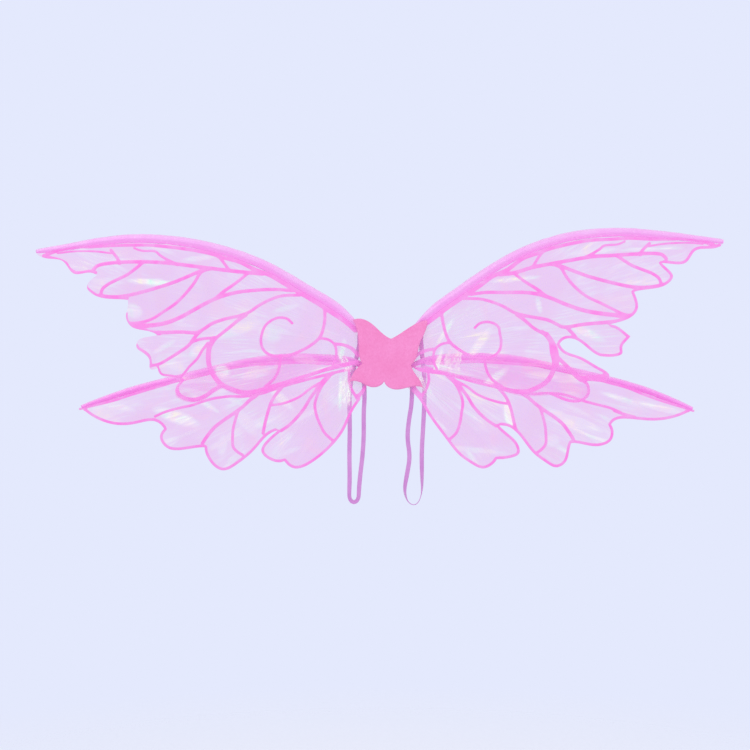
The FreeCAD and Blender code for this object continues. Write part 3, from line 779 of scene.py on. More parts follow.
def painted_shine_at(wing, points):
    """How strongly the painted highlight shows on the film at each point, from 0 to 1."""
    shine = np.zeros(len(points))
    for out, up, long, wide, slope, strength in PAINTED_SHINES[wing.name]:
        offset = points - to_side([(out, up)], wing.wing, wing.side)[0]
        offset = offset * (side_sign(wing.side), 1)
        turn = math.radians(slope)
        along = offset @ (math.cos(turn), math.sin(turn)) / long
        across = offset @ (-math.sin(turn), math.cos(turn)) / wide
        shine = np.maximum(shine, strength * np.clip(1.5 * (1 - along**2 - across**2), 0, 1))
    return shine


def make_film(wing):
    """The clear panel. Gives it with its flat size and its area."""
    points, faces = fill_outline(wing.outline, FILM_STEP)
    film = new_piece(f"{wing.name}_clear_film", wing.place(points), faces, MATERIALS[f"{wing.wing}_film"])
    give_uv(film, RADIAL, wing.radial(points))
    # The strength of the painted highlights goes to the film as a UV map.
    give_uv(film, PAINTED_SHINE, [(value, 0.5) for value in painted_shine_at(wing, points)])
    let_light_through(film)
    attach(film, wing.body)
    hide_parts(f"{wing.name}_film")
    size = np.ptp(wing.outline, axis=0) * MM
    return film, tuple(float(value) for value in size), float(area_of(wing.outline)) * MM * MM


# Places across the sleeve in half widths, from its outer fold to where it ends on the film.
SLEEVE_ACROSS = (-1, -0.93, -0.75, -0.5, -0.3, -0.17, 0, 0.17, 0.3, 0.5, 0.75, 0.95, 1.08)
# The sleeve's outer edge is bunched on the rod where it runs into the hub.
ROOT_BUNCH = {"left": 0.35, "right": 0.75}
ROOT_BUNCH_LENGTH = 60


def make_sleeve(wing):
    """The folded film that holds the rod: a flat tube with a hump along the rod and small puckers."""
    ring = [(v, 1) for v in SLEEVE_ACROSS] + [(v, -1) for v in reversed(SLEEVE_ACROSS)]
    vertices, bands = [], []
    travelled = 0.0
    line = wing.rod
    for index, point in enumerate(line):
        ahead = line[min(index + 1, len(line) - 1)] - line[max(index - 1, 0)]
        ahead = ahead / np.hypot(*ahead)
        inward = np.array([ahead[1], -ahead[0]]) * side_sign(wing.side)
        travelled += float(np.hypot(*(point - line[index - 1]))) if index else 0.0
        half = sleeve_half(wing.wing, index / (len(line) - 1))
        bunched = 1 - ROOT_BUNCH[wing.side] * (1 - smooth_step(travelled, 0, ROOT_BUNCH_LENGTH))
        for v, face in ring:
            pucker = noise.noise(Vector((travelled * 0.11, v * 1.5, SEED[wing.name] + face)))
            narrow = bunched if v < 0 else 1
            place = point + inward * half * v * narrow * (1 + 0.06 * pucker * abs(v))
            hump = ROD_HUMP * math.exp(-(v * half / HUMP_WIDTH) ** 2)
            thick = 0.2 + hump + 0.3 * (1 - v * v * 0.8) * abs(pucker)
            edge = min(1.0, (1.09 - abs(v)) / 0.12)
            y = -(wing.depth + face * max(thick * edge, 0.05)) * MM
            vertices.append((place[0] * MM, y, place[1] * MM))
            bands.append((v, travelled * MM))
    faces = tube_faces(len(line), len(ring))
    sleeve = new_piece(f"{wing.name}_rod_sleeve", vertices, faces, MATERIALS[f"{wing.wing}_sleeve"])
    give_uv(sleeve, BAND, bands)
    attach(sleeve, wing.body)
    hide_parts(f"{wing.name}_sleeve")
    return sleeve


# ---- printed veins ----

# Each vein: its width at its start and end, and its points.
VEINS = {
    "upper": [
        (3.5, 7.5, [(542, 157), (506, 167), (474, 168), (442, 170), (410, 171), (378, 171),
            (346, 168), (314, 164), (282, 158), (256, 150), (234, 144), (210, 132), (186, 123),
            (165, 111), (138, 95), (109, 78), (86, 63), (65, 49), (49, 35)]),
        (2.5, 2.5, [(525, 158), (498, 161), (466, 161), (440, 158)]),
        (5, 4, [(547, 154), (538, 158), (526, 162)]),
        (4, 4.5, [(440, 163), (435, 157), (429, 149), (426, 142)]),
        (2.5, 4, [(403, 166), (390, 162), (370, 161), (362, 155), (352, 149), (339, 142)]),
        (4, 4, [(269, 154), (262, 146), (256, 138), (251, 131)]),
        (5, 5.5, [(469, 130), (461, 138), (442, 142), (413, 144), (378, 144), (346, 142), (314, 138),
            (282, 134), (250, 130), (221, 127), (198, 125)]),
        (4.5, 4.5, [(390, 142), (397, 136), (413, 124), (429, 116), (443, 109), (453, 101),
            (456, 91)]),
        (5, 5, [(458, 90), (434, 88), (410, 91), (386, 97), (362, 104), (338, 112), (314, 122),
            (298, 129), (282, 133)]),
        (4, 4.5, [(413, 46), (394, 47), (374, 53), (355, 65), (336, 78), (320, 94), (307, 110),
            (298, 125), (291, 131)]),
        (6.5, 4.5, [(405, 42), (381, 42), (354, 46), (330, 55), (306, 68), (282, 81), (259, 90),
            (234, 96), (205, 99), (176, 100), (150, 98)]),
        (5.5, 4, [(398, 37), (378, 32), (358, 31), (330, 32), (304, 31), (291, 37), (277, 46),
            (256, 53), (234, 58), (218, 64), (202, 75), (184, 84), (165, 90), (138, 91)]),
        (4, 5, [(222, 125), (234, 115), (246, 106), (259, 97), (272, 86)]),
        (5, 4.5, [(224, 59), (237, 50), (253, 37), (267, 26), (277, 18)]),
        (7.5, 6, [(275, 21), (282, 8), (284, -8), (282, -24), (275, -38), (264, -51), (248, -59),
            (229, -65), (208, -63), (187, -57), (163, -50), (138, -42), (112, -34), (86, -25),
            (64, -20), (45, -16)]),
        (4, 4, [(192, -54), (182, -46), (175, -37), (171, -26), (169, -13), (168, -6)]),
        (3.5, 4.5, [(150, 46), (158, 53), (170, 55), (182, 51), (193, 42), (198, 30), (200, 18),
            (197, 5), (187, -4), (171, -7), (154, -5), (136, 2), (120, 11), (107, 22), (101, 35),
            (98, 51), (98, 67)]),
        (3.5, 3.5, [(106, 22), (93, 20), (84, 14), (80, 5), (80, -8), (85, -19)]),
        (4, 6, [(80, 13), (67, 11), (54, 5), (45, -5)]),
    ],
    "lower": [
        (3.5, 5.5, [(490, -91), (466, -85), (438, -78), (410, -69), (381, -60), (357, -53),
            (333, -46), (298, -38), (258, -27), (218, -21), (178, -18), (138, -16), (98, -18),
            (58, -19)]),
        (3.5, 4, [(370, -103), (354, -96), (333, -90), (310, -85), (293, -79), (274, -74),
            (250, -71), (226, -71), (198, -66), (162, -54), (122, -43), (86, -34), (54, -26)]),
        (5, 5, [(294, -146), (286, -134), (275, -121), (261, -110), (245, -99), (230, -88),
            (218, -77), (208, -70)]),
        (4, 4, [(237, -94), (241, -107), (245, -123), (246, -139), (245, -152), (238, -160),
            (230, -165)]),
        (4.5, 4.5, [(197, -130), (194, -115), (190, -99), (185, -83), (178, -70), (168, -58)]),
        (3.5, 3.5, [(182, -85), (168, -83), (152, -78), (136, -70), (122, -59), (107, -50)]),
        (4.5, 4.5, [(168, -126), (155, -117), (142, -104), (131, -90), (122, -75), (112, -61),
            (101, -46), (85, -34)]),
        (4, 4, [(84, -143), (98, -130), (106, -115), (112, -99), (114, -83), (109, -67), (102, -53),
            (91, -40)]),
        (4, 4, [(59, -32), (59, -48), (54, -62), (46, -74)]),
        (6, 5, [(46, -72), (38, -64), (32, -53)]),
    ],
}
# Veins of one wing only, as they hang.
OWN_VEINS = {
    "upper_left": [
        (5, 4, [(298, 32), (307, 22), (315, 11), (330, 0), (346, -10), (362, -19), (376, -22)]),
        (2.5, 4, [(365, -22), (362, -30), (357, -36), (342, -38), (330, -40), (322, -33), (314, -23),
            (302, -11), (294, 2), (285, 14)]),
        (4, 4, [(310, 16), (298, 20), (285, 22), (272, 22)]),
    ],
    "upper_right": [
        (2, 8, [(250, 34), (258, 28), (266, 18), (271, 6), (273, -6), (272, -22)]),
        (5, 8, [(274, -8), (284, -18), (294, -28), (305, -39), (318, -46)]),
        (8, 9, [(311, -43), (326, -42), (342, -41), (351, -38)]),
        (5, 5, [(290, 38), (297, 31), (303, 24)]),
    ],
    "lower_right": [
        (4, 4, [(366, -94), (380, -99), (398, -104)]),
    ],
}
# The print along the scallops. The upper left wing's is worn away in places, so it is drawn lobe by lobe.
MARGIN_WIDTH = 4.6
MARGIN_SET_BACK = 2.1
# How near the hub the print along the scallops goes.
MARGIN_END = {"upper": 262, "lower": 40}
LEFT_LOBES = [
    (5, 4.5, [(547, 153), (534, 150), (522, 147), (512, 142), (506, 133), (496, 127), (485, 127),
        (474, 129), (464, 127)]),
    (2.5, 5, [(477, 110), (478, 104), (472, 98), (462, 91), (451, 88), (434, 87), (414, 86)]),
    (2, 6, [(414, 62), (414, 53), (410, 46), (400, 40), (386, 35), (373, 30), (362, 30)]),
    (3.5, 5, [(399, 12), (395, 6), (387, 1), (379, -6), (377, -14), (377, -22)]),
    (6, 6, [(326, -45), (333, -53), (334, -61), (329, -70), (318, -75), (304, -76), (290, -71),
        (277, -62), (264, -54)]),
]
# Ink is drawn as a field in millimetres, positive where there is ink, on a grid.
INK_STEP = 1.3
NO_INK = -50.0
WEB = 2.2
INK_SPREAD = 0.5


def margins(wing):
    """The print along the scalloped edge, set in from the film's outline."""
    if wing.name == "upper_left":
        return [(a, b, smooth_line(to_side(points, "upper", "left"))) for a, b, points in LEFT_LOBES]
    outline = wing.outline
    gap = gap_to_line(outline, wing.rod)
    free = (gap > SLEEVE_HALF[wing.wing] + 0.6) & (np.abs(outline[:, 0]) > MARGIN_END[wing.wing])
    centre = []
    for index in np.flatnonzero(free):
        before, after = outline[index - 1], outline[(index + 1) % len(outline)]
        run = (after - before) / np.hypot(*(after - before))
        normal = np.array([-run[1], run[0]]) * MARGIN_SET_BACK
        spot = outline[index] + normal
        if depth_inside(spot[None], outline)[0] < 0:
            spot = outline[index] - normal
        centre.append(spot)
    breaks = np.flatnonzero(np.diff(np.flatnonzero(free)) > 1) + 1
    runs = np.split(np.array(centre), breaks)
    return [(MARGIN_WIDTH, MARGIN_WIDTH, run) for run in runs if len(run) > 2]


def add_ribbon(field, xs, zs, start_width, end_width, line):
    """Raises the field where the ribbon lies, with a small web where it meets what is already there."""
    reach = max(start_width, end_width) / 2 + 2 * WEB
    low, high = line.min(0) - reach, line.max(0) + reach
    i0, i1 = np.searchsorted(xs, (low[0], high[0]))
    j0, j1 = np.searchsorted(zs, (low[1], high[1]))
    if i0 == i1 or j0 == j1:
        return
    near = np.stack(np.meshgrid(xs[i0:i1], zs[j0:j1], indexing="ij"), -1).reshape(-1, 2)
    cover = np.full(len(near), NO_INK)
    halves = np.linspace(start_width, end_width, len(line)) / 2 + INK_SPREAD
    for start, end, half, next_half in zip(line, line[1:], halves, halves[1:]):
        share, gap = beside_run(near, start, end)
        cover = np.maximum(cover, half + (next_half - half) * share - gap)
    old = field[i0:i1, j0:j1]
    new = cover.reshape(old.shape)
    blend = np.clip(0.5 + 0.5 * (new - old) / WEB, 0, 1)
    field[i0:i1, j0:j1] = old + (new - old) * blend + WEB * blend * (1 - blend)


def filled_contour(field, xs, zs):
    """Points, their values and faces of the grid where the field is positive, cut along its zero line."""
    corners = ((0, 0), (1, 0), (1, 1), (0, 1))
    points, values, faces, known = [], [], [], {}

    def corner(key, x, z, value):
        if key not in known:
            known[key] = len(points)
            points.append((x, z))
            values.append(value)
        return known[key]

    positive = field > 0
    active = positive[:-1, :-1] | positive[1:, :-1] | positive[:-1, 1:] | positive[1:, 1:]
    for i, j in np.argwhere(active):
        ring = []
        for (a, b), (c, d) in zip(corners, corners[1:] + corners[:1]):
            first, second = (i + a, j + b), (i + c, j + d)
            here, there = field[first], field[second]
            if here > 0:
                ring.append(corner(first, xs[first[0]], zs[first[1]], here))
            if (here > 0) != (there > 0):
                share = here / (here - there)
                x = xs[first[0]] + (xs[second[0]] - xs[first[0]]) * share
                z = zs[first[1]] + (zs[second[1]] - zs[first[1]]) * share
                ring.append(corner(tuple(sorted((first, second))), x, z, 0.0))
        faces.append(ring)
    return np.array(points), np.array(values), faces


INK_LIFT = 0.12
INK_INSET = 0.15
INK_FADE = 1.6
# How far the ink reaches past the sleeve's inner edge, and how much of the sleeve's half by the rod has none.
SLEEVE_MARGIN = 2.0
ROD_MARGIN = 1.6


def make_ink(wing):
    """The wing's print: one sheet of ink just in front of the film and the sleeve's inner edge."""
    low, high = wing.outline.min(0) - 8, wing.outline.max(0) + 14
    xs = np.arange(low[0], high[0], INK_STEP)
    zs = np.arange(low[1], high[1], INK_STEP)
    field = np.full((len(xs), len(zs)), NO_INK)
    veins = [(*widths, to_side(points, wing.wing, wing.side)) for *widths, points in VEINS[wing.wing]]
    veins += [(*widths, np.array(points) * (side_sign(wing.side), 1))
              for *widths, points in OWN_VEINS.get(wing.name, [])]
    for start_width, end_width, points in veins:
        add_ribbon(field, xs, zs, start_width, end_width, smooth_line(points))
    for start_width, end_width, line in margins(wing):
        add_ribbon(field, xs, zs, start_width, end_width, line)
    i, j = np.nonzero(field > -2)
    near = np.stack([xs[i], zs[j]], 1)
    allowed = depth_inside(near, wing.outline) - INK_INSET
    band = SLEEVE_HALF[wing.wing] - gap_to_line(near, wing.rod)
    over_sleeve = np.minimum(band + SLEEVE_MARGIN, SLEEVE_HALF[wing.wing] - ROD_MARGIN - band)
    shore = np.array([side_of_rod(point, wing) for point in near])
    over_sleeve = np.where(shore > 0, over_sleeve, -5)
    field[i, j] = np.minimum(field[i, j], np.maximum(allowed, over_sleeve))
    points, values, faces = filled_contour(field, xs, zs)
    ink = new_piece(f"{wing.name}_ink", wing.place(points, INK_LIFT, True), faces, MATERIALS["ink"])
    give_uv(ink, INK, [(min(value / INK_FADE, 1.0), 0.5) for value in values])
    let_light_through(ink)
    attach(ink, wing.body)
    return ink


def side_of_rod(point, wing):
    """Positive on the film's side of the rod."""
    index = min(int(np.argmin(np.hypot(*(wing.rod - point).T))), len(wing.rod) - 2)
    run = wing.rod[index + 1] - wing.rod[index]
    offset = point - wing.rod[index]
    return (run[1] * offset[0] - run[0] * offset[1]) * side_sign(wing.side)


# Loose film bunched beside the hub, in front of the lower film: the middle, half length, half width, slope in
# degrees and number of pleats of each bunch, as it hangs.
BUNCHES = {
    "lower_left": [((67, -14), 22, 5, 64, 3), ((65, -62), 29, 7, 98, 4)],
    "lower_right": [((57, -50), 15, 4, -60, 3), ((107, -13), 26, 12, 72, 5)],
}
BUNCH_LIFT = 1.7
BUNCH_RISE = 0.6
BUNCH_ROWS = 26
COLUMNS_PER_PLEAT = 8


def make_bunch(wing, number, middle, long, wide, slope, pleats):
    """A crumpled tuft of clear film: narrow and tight at its upper end, with pleats that open downwards."""
    sign, turn = side_sign(wing.side), math.radians(slope)
    along = np.array([math.cos(turn), math.sin(turn)])
    across = np.array([-along[1], along[0]])
    columns = pleats * COLUMNS_PER_PLEAT
    vertices, spots, faces = [], [], []
    for row in range(BUNCH_ROWS + 1):
        u = 1 - 2 * row / BUNCH_ROWS
        for column in range(columns + 1):
            v = 2 * column / columns - 1
            crumple = Vector((u * long * 0.16, v * wide * 0.3, SEED[wing.name] + number))
            ragged = 1 + 0.16 * noise.noise(crumple * 2) * abs(v)
            spread = wide * (1.15 - 0.45 * u)
            spot = np.array(middle) + along * u * long * ragged + across * v * spread * ragged
            wander = v + 0.12 * noise.noise(crumple)
            fold = math.asin(math.sin(math.pi * pleats * wander)) * 2 / math.pi
            y = wing.depth + BUNCH_LIFT + BUNCH_RISE * (0.7 * fold + 0.6 * noise.noise(crumple * 1.7))
            vertices.append((sign * spot[0] * MM, -y * MM, spot[1] * MM))
            spots.append((v * wide * MM, u))
    for row in range(BUNCH_ROWS):
        for column in range(columns):
            corner = row * (columns + 1) + column
            faces.append((corner, corner + 1, corner + columns + 2, corner + columns + 1))
    bunch = new_piece(f"{wing.name}_film_bunch_{number}", vertices, faces, MATERIALS["bunched_film"])
    give_uv(bunch, PLEAT, spots)
    let_light_through(bunch)
    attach(bunch, wing.body)
    return bunch


def make_wing(wing):
    """A wing's sleeve, film, print and bunches."""
    sleeve = make_sleeve(wing)
    film, size, area = make_film(wing)
    pieces = [make_ink(wing)]
    for number, bunch in enumerate(BUNCHES.get(wing.name, []), start=1):
        pieces.append(make_bunch(wing, number, *bunch))


# ---- felt butterfly ----

FELT_STEP = 1.8
# The cut edge is rounded over this width, by this share of the felt's thickness on each face.
FELT_EDGE = 0.9
FELT_ROUNDING = 0.42
FELT_LUMP = 0.06


def half_outline(outline, sign):
    """The part of a closed outline on one side of x = 0, closed by evenly spaced points along x = 0."""
    kept, leave = [], 0
    for start, end in zip(outline, np.roll(outline, -1, axis=0)):
        if start[0] * sign > 0:
            kept.append(start)
        if start[0] * end[0] < 0:
            share = start[0] / (start[0] - end[0])
            kept.append(np.array([0.0, start[1] + (end[1] - start[1]) * share]))
            if start[0] * sign > 0:
                leave = len(kept)
    kept = np.array(kept[leave:] + kept[:leave])
    count = round(abs(kept[-1][1] - kept[0][1]) / FELT_STEP)
    shares = np.linspace(0, 1, count + 1)[1:-1, None]
    return np.vstack([kept, kept[-1] + (kept[0] - kept[-1]) * shares])


def make_felt(side):
    """Half of the butterfly: soft pressed felt with a rounded cut edge."""
    outline = cad_outline("felt_butterfly")
    low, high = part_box("felt_butterfly")
    back, front = -high[1] / MM, -low[1] / MM
    half = half_outline(outline, side_sign(side))
    points, triangles = fill_outline(half, FELT_STEP)
    inside = depth_inside(points, outline)
    vertices, faces = [], []
    count = len(points)
    for face, middle in ((1, front), (-1, back)):
        for (x, z), gap in zip(points, inside):
            share = min(max(gap, 0) / FELT_EDGE, 1)
            drop = (front - back) * FELT_ROUNDING * (1 - math.sqrt(1 - (1 - share) ** 2))
            lump = FELT_LUMP * noise.noise(Vector((x * 0.35, z * 0.35, 5.0))) * share
            vertices.append((x * MM, -(middle - face * (drop - lump)) * MM, z * MM))
    for triangle in triangles:
        faces.append(tuple(triangle))
        faces.append(tuple(count + index for index in reversed(triangle)))
    rim = {}
    for a, b, c in triangles:
        for pair in ((a, b), (b, c), (c, a)):
            rim[frozenset(pair)] = rim.get(frozenset(pair), []) + [pair]
    for pairs in rim.values():
        a, b = pairs[0]
        if len(pairs) == 1:
            faces.append((b, a, count + a, count + b))
    felt = new_piece(f"felt_{side}_half", vertices, faces, MATERIALS["felt"])
    sharp = felt.data.attributes.new("sharp_edge", "BOOLEAN", "EDGE")
    for edge in felt.data.edges:
        sharp.data[edge.index].value = all(abs(vertices[index][0]) < 1e-6 for index in edge.vertices)
    y, z = (low[1] + high[1]) / 2, (low[2] + high[2]) / 2
    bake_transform(felt)
    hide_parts("felt_butterfly")


# ---- strap tabs, pad and hub ----

TAB_ROUNDING = 0.0006
TAB_STEP = 0.001
TAB_WOBBLE = 0.00008


def tab_block(low, high, seed):
    """A soft-edged block with a slightly uneven surface."""
    data = bmesh.new()
    bmesh.ops.create_cube(data, size=1)
    size = Vector(high) - Vector(low)
    for vertex in data.verts:
        vertex.co = Vector(low) + Vector((a * (b + 0.5) for a, b in zip(size, vertex.co)))
    bmesh.ops.bevel(data, geom=data.edges[:] + data.verts[:], offset=TAB_ROUNDING, segments=3, profile=0.6,
                    affect="EDGES")
    long_edges = [edge for edge in data.edges if edge.calc_length() > TAB_STEP * 2]
    bmesh.ops.subdivide_edges(data, edges=long_edges, cuts=4, use_grid_fill=True)
    for vertex in data.verts:
        vertex.co += vertex.normal * TAB_WOBBLE * noise.noise(vertex.co * 400 + Vector((seed, 0, 0)))
    return data


THREAD = 0.00022
STITCH_GAP = 0.12


def stitch(data, start, end, out):
    """One thread stitch: a small raised strand from start to end, its ends sunk into the cloth."""
    steps, sides = 6, 6
    run = end - start
    across = run.cross(out).normalized()
    rings = []
    for index in range(steps + 1):
        share = index / steps
        centre = start + run * share + out * THREAD * (1.6 * math.sin(math.pi * share) - 0.5)
        ring = []
        for k in range(sides):
            angle = math.tau * k / sides
            ring.append(data.verts.new(centre + across * THREAD * math.cos(angle)
                                       + out * THREAD * math.sin(angle)))
        rings.append(ring)
    for first, second in zip(rings, rings[1:]):
        for k in range(sides):
            data.faces.new((first[k], first[(k + 1) % sides], second[(k + 1) % sides], second[k]))
    data.faces.new(rings[0])
    data.faces.new(reversed(rings[-1]))


def piece_from(data, name, material):
    """A smooth mesh piece from a bmesh, which is used up."""
    bmesh.ops.recalc_face_normals(data, faces=data.faces)
    mesh = bpy.data.meshes.new(name)
    data.to_mesh(mesh)
    data.free()
    mesh.shade_smooth()
    mesh.materials.append(material)
    return place_in_scene(name, mesh)


def stitch_row(data, start, end, count, out):
    """Stitches with small gaps from start to end."""
    for index in range(count):
        a, b = (index + STITCH_GAP) / count, (index + 1 - STITCH_GAP) / count
        stitch(data, start.lerp(end, a), start.lerp(end, b), out)


def make_strap_tab(side, end):
    """The folded strap end sewn to the plate, with a box of stitches."""
    node = f"{side}_{end}_strap_tab"
    low, high = (Vector(corner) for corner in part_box(node))
    tab = piece_from(tab_block(low, high, len(node)), f"{node}_fold", MATERIALS["elastic"])
    bands = [((v.co.x - low.x) / (high.x - low.x), v.co.z) for v in tab.data.vertices]
    give_uv(tab, BAND, bands)
    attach(tab, "hub")
    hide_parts(node)
    data = bmesh.new()
    inset, out = 0.0013, Vector((0, 1, 0))
    corners = [Vector((x, high.y, z)) for x, z in (
        (low.x + inset, low.z + inset), (high.x - inset, low.z + inset),
        (high.x - inset, high.z - inset), (low.x + inset, high.z - inset))]
    for a, b, count in ((0, 1, 4), (1, 2, 8), (2, 3, 4), (3, 0, 8), (0, 2, 9), (1, 3, 9)):
        stitch_row(data, corners[a], corners[b], count, out)
    thread = piece_from(data, f"{node}_stitches", MATERIALS["thread"])
    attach(thread, "hub")


PAD_STEP = 0.0022
PAD_CORNER = 0.009
PAD_SWELL = 0.0016
PAD_PRESSURE = 4.0
SIM_FRAMES = 20
# The pressed channel's distance from the pad's edge, its half width and how much it flattens the pad. The
# stitches lie further in.
CHANNEL = 0.006
CHANNEL_WIDTH = 0.0013
CHANNEL_DIP = 0.55


def pad_outline(low, high, reach):
    """A rectangle in (x, z), metres, with corners rounded by reach about the centres of the pad's corners."""
    points = []
    left, right = low[0] + PAD_CORNER, high[0] - PAD_CORNER
    bottom, top = low[2] + PAD_CORNER, high[2] - PAD_CORNER
    for x, z, first in ((right, top, 0), (left, top, 90), (left, bottom, 180), (right, bottom, 270)):
        for k in range(9):
            angle = math.radians(first + k * 11.25)
            points.append((x + reach * math.cos(angle), z + reach * math.sin(angle)))
    return np.array(points)


def resampled(loop, step):
    """A closed loop with points about every step."""
    made = []
    for start, end in zip(loop, np.roll(loop, -1, axis=0)):
        count = max(1, round(float(np.hypot(*(end - start))) / step))
        made += [start + (end - start) * k / count for k in range(count)]
    return np.array(made)


def make_pad():
    """The foam pad against the back: two cloth faces sewn round the edge and blown up by its filling."""
    low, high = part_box("back_pad")
    loop = resampled(pad_outline(low, high, PAD_CORNER), PAD_STEP)
    points, triangles = fill_outline(loop / MM, PAD_STEP / MM)
    seam = set(np.flatnonzero(np.abs(depth_inside(points, loop / MM)) < 0.05).tolist())
    seam_y, rise = (low[1] + high[1]) / 2, (high[1] - low[1]) * 0.3
    vertices = [(x * MM, seam_y - (0 if index in seam else rise), z * MM)
                for index, (x, z) in enumerate(points)]
    rear = {}
    for index, (x, z) in enumerate(points):
        rear[index] = index if index in seam else len(vertices)
        if index not in seam:
            vertices.append((x * MM, seam_y + rise, z * MM))
    faces = [tuple(triangle) for triangle in triangles]
    faces += [tuple(rear[index] for index in reversed(triangle)) for triangle in triangles]
    data = bmesh.new()
    for vertex in vertices:
        data.verts.new(vertex)
    data.verts.ensure_lookup_table()
    for face in faces:
        data.faces.new([data.verts[index] for index in face])
    pad = piece_from(data, "back_pad_cushion", MATERIALS["fabric"])
    blow_up(pad, seam)
    for vertex in pad.data.vertices:
        channel = channel_dip(vertex.co.x, vertex.co.z, low, high)
        vertex.co.y = seam_y + (vertex.co.y - seam_y) * (1 - CHANNEL_DIP * channel)
        vertex.co.y = max(vertex.co.y, low[1] + 0.0001)
    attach(pad, "hub")
    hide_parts("back_pad")
    data = bmesh.new()
    rows = resampled(pad_outline(low, high, PAD_CORNER - CHANNEL), PAD_STEP * 1.3)
    rows = shrink_loop(rows, low, high)
    for start, end in zip(rows, np.roll(rows, -1, axis=0)):
        a, b = Vector((start[0], high[1], start[1])), Vector((end[0], high[1], end[1]))
        a.y = b.y = pad_surface(pad, (a + b) / 2)
        stitch_row(data, a, b, 1, Vector((0, 1, 0)))
    thread = piece_from(data, "back_pad_stitches", MATERIALS["thread"])
    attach(thread, "hub")


def shrink_loop(loop, low, high):
    """A loop drawn in towards the pad's centre by CHANNEL over half the pad's size."""
    centre = np.array([(low[0] + high[0]) / 2, (low[2] + high[2]) / 2])
    half = np.array([(high[0] - low[0]) / 2, (high[2] - low[2]) / 2])
    return centre + (loop - centre) * (half - CHANNEL) / half


def channel_dip(x, z, low, high):
    """1 on the stitched channel near the pad's edge, fading to 0 beside it."""
    edge = min(x - low[0], high[0] - x, z - low[2], high[2] - z)
    return math.exp(-((edge - CHANNEL) / CHANNEL_WIDTH) ** 2)


def pad_surface(pad, point):
    """The y of the pad's rear face at a point."""
    hit, place, _, _ = pad.ray_cast(Vector((point.x, 0.05, point.z)), Vector((0, -1, 0)))
    return place.y if hit else point.y


def blow_up(pad, seam):
    """Cloth simulation with pressure, the seam held, and each point's travel capped."""
    start = [vertex.co.copy() for vertex in pad.data.vertices]
    pinned = pad.vertex_groups.new(name="seam")
    pinned.add(sorted(seam), 1.0, "REPLACE")
    cloth = pad.modifiers.new("Cloth", "CLOTH")
    cloth.settings.use_pressure = True
    cloth.settings.uniform_pressure_force = PAD_PRESSURE
    cloth.settings.vertex_group_mass = "seam"
    cloth.settings.effector_weights.gravity = 0
    cloth.settings.tension_stiffness = 30
    cloth.settings.bending_stiffness = 2
    cloth.point_cache.frame_end = SIM_FRAMES
    scene = bpy.context.scene
    for number in range(1, SIM_FRAMES + 1):
        scene.frame_set(number)
    evaluated = pad.evaluated_get(bpy.context.evaluated_depsgraph_get())
    moved = [vertex.co.copy() for vertex in evaluated.data.vertices]
    pad.modifiers.remove(cloth)
    pad.vertex_groups.clear()
    scene.frame_set(1)
    for vertex, before, after in zip(pad.data.vertices, start, moved):
        travel = after - before
        if travel.length > PAD_SWELL:
            travel = travel.normalized() * PAD_SWELL
        vertex.co = before + travel


def paint(names, material):
    """Gives CAD nodes a material."""
    for name in names:
        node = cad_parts[name]
        if not node.data.materials:
            node.data.materials.append(material)
        for slot in node.material_slots:
            slot.material = material


def paint_cad():
    """Materials for the CAD nodes that are seen as they are."""
    paint(["back_plate", "hub_boss"], MATERIALS["pink_plastic"])
    paint(["hub_screws"], MATERIALS["steel"])
    for side in SIDES:
        paint([f"{side}_hinge_pin", f"{side}_pivot_rivets"], MATERIALS["steel"])
        paint([f"{side}_hinge_leaf", f"{side}_pivot_spacers"], MATERIALS["white_plastic"])
        for wing in WINGS:
            paint([f"{wing}_{side}_rod"], MATERIALS["rod_plastic"])
            paint([f"{wing}_{side}_tip_cap"], MATERIALS["pink_plastic"])
            paint([f"{wing}_{side}_root_eye"], MATERIALS["steel"])


# ---- stage and light ----

BACKDROP = srgb(228, 233, 253)
WORLD_LIGHT = 0.85
FLOOR_DROP = 0.5
FLOOR_RADIUS = 1.6
FLOOR_CORNERS = 64


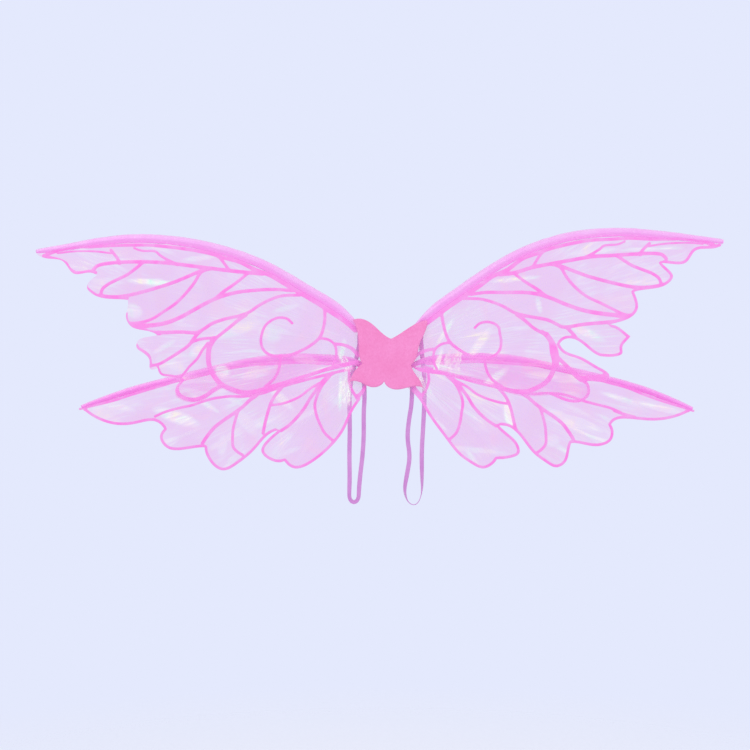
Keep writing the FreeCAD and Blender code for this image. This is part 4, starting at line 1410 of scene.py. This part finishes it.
def make_floor():
    """A pale round floor below the straps that fades out into the pale surroundings."""
    shader = Shader("floor", srgb(236, 238, 252), 0.9)
    radius = shader.node("VectorMath", {0: shader.place()}, operation="LENGTH").outputs["Value"]
    grain = shader.noise(60, detail=3)
    shader.feed("Base Color", shader.mix(grain, srgb(234, 237, 252), srgb(238, 240, 253)))
    shader.feed("Alpha", shader.level(radius, 0.3, 1.2, 0.85, 0))
    angles = [math.tau * k / FLOOR_CORNERS for k in range(FLOOR_CORNERS)]
    ring = [(FLOOR_RADIUS * math.cos(angle), FLOOR_RADIUS * math.sin(angle), 0) for angle in angles]
    floor = new_piece("floor", ring, [tuple(range(FLOOR_CORNERS))], shader.material)
    floor.location.z = cad_box[0][2] - FLOOR_DROP


def area_light(name, place, size, power, colour):
    """A square soft light that faces the hub."""
    data = bpy.data.lights.new(name, "AREA")
    data.size = size
    data.energy = power
    data.color = colour
    light = place_in_scene(name, data)
    light.location = place
    light.rotation_euler = (-Vector(place)).to_track_quat("-Z", "Y").to_euler()


def make_light():
    """An even white surround, seen as a pale blue backdrop, and three soft lights."""
    world = bpy.data.worlds.new("studio")
    world.use_nodes = True
    nodes, links = world.node_tree.nodes, world.node_tree.links
    seen = nodes["Background"]
    seen.inputs["Color"].default_value = BACKDROP
    light = nodes.new("ShaderNodeBackground")
    light.inputs["Color"].default_value = (1, 1, 1, 1)
    light.inputs["Strength"].default_value = WORLD_LIGHT
    path = nodes.new("ShaderNodeLightPath")
    mix = nodes.new("ShaderNodeMixShader")
    links.new(path.outputs["Is Camera Ray"], mix.inputs["Fac"])
    links.new(light.outputs["Background"], mix.inputs[1])
    links.new(seen.outputs["Background"], mix.inputs[2])
    links.new(mix.outputs["Shader"], nodes["World Output"].inputs["Surface"])
    bpy.context.scene.world = world
    bpy.context.scene.view_settings.view_transform = "Standard"
    area_light("key", (-1.3, -2.4, 1.7), 1.4, 14, (1, 0.99, 0.97))
    area_light("fill", (1.7, -2.2, 0.6), 1.2, 7, (0.97, 0.98, 1))
    area_light("back", (0.4, 2.2, 1.6), 1.2, 6, (1, 0.98, 1))


# ---- assembly ----

make_camera()
for side in SIDES:
    make_strap(side)
make_floor()
make_light()
for side in SIDES:
    for wing in WINGS:
        make_wing(Wing(wing, side))
    make_felt(side)
    for end in ("upper", "lower"):
        make_strap_tab(side, end)
make_pad()
paint_cad()
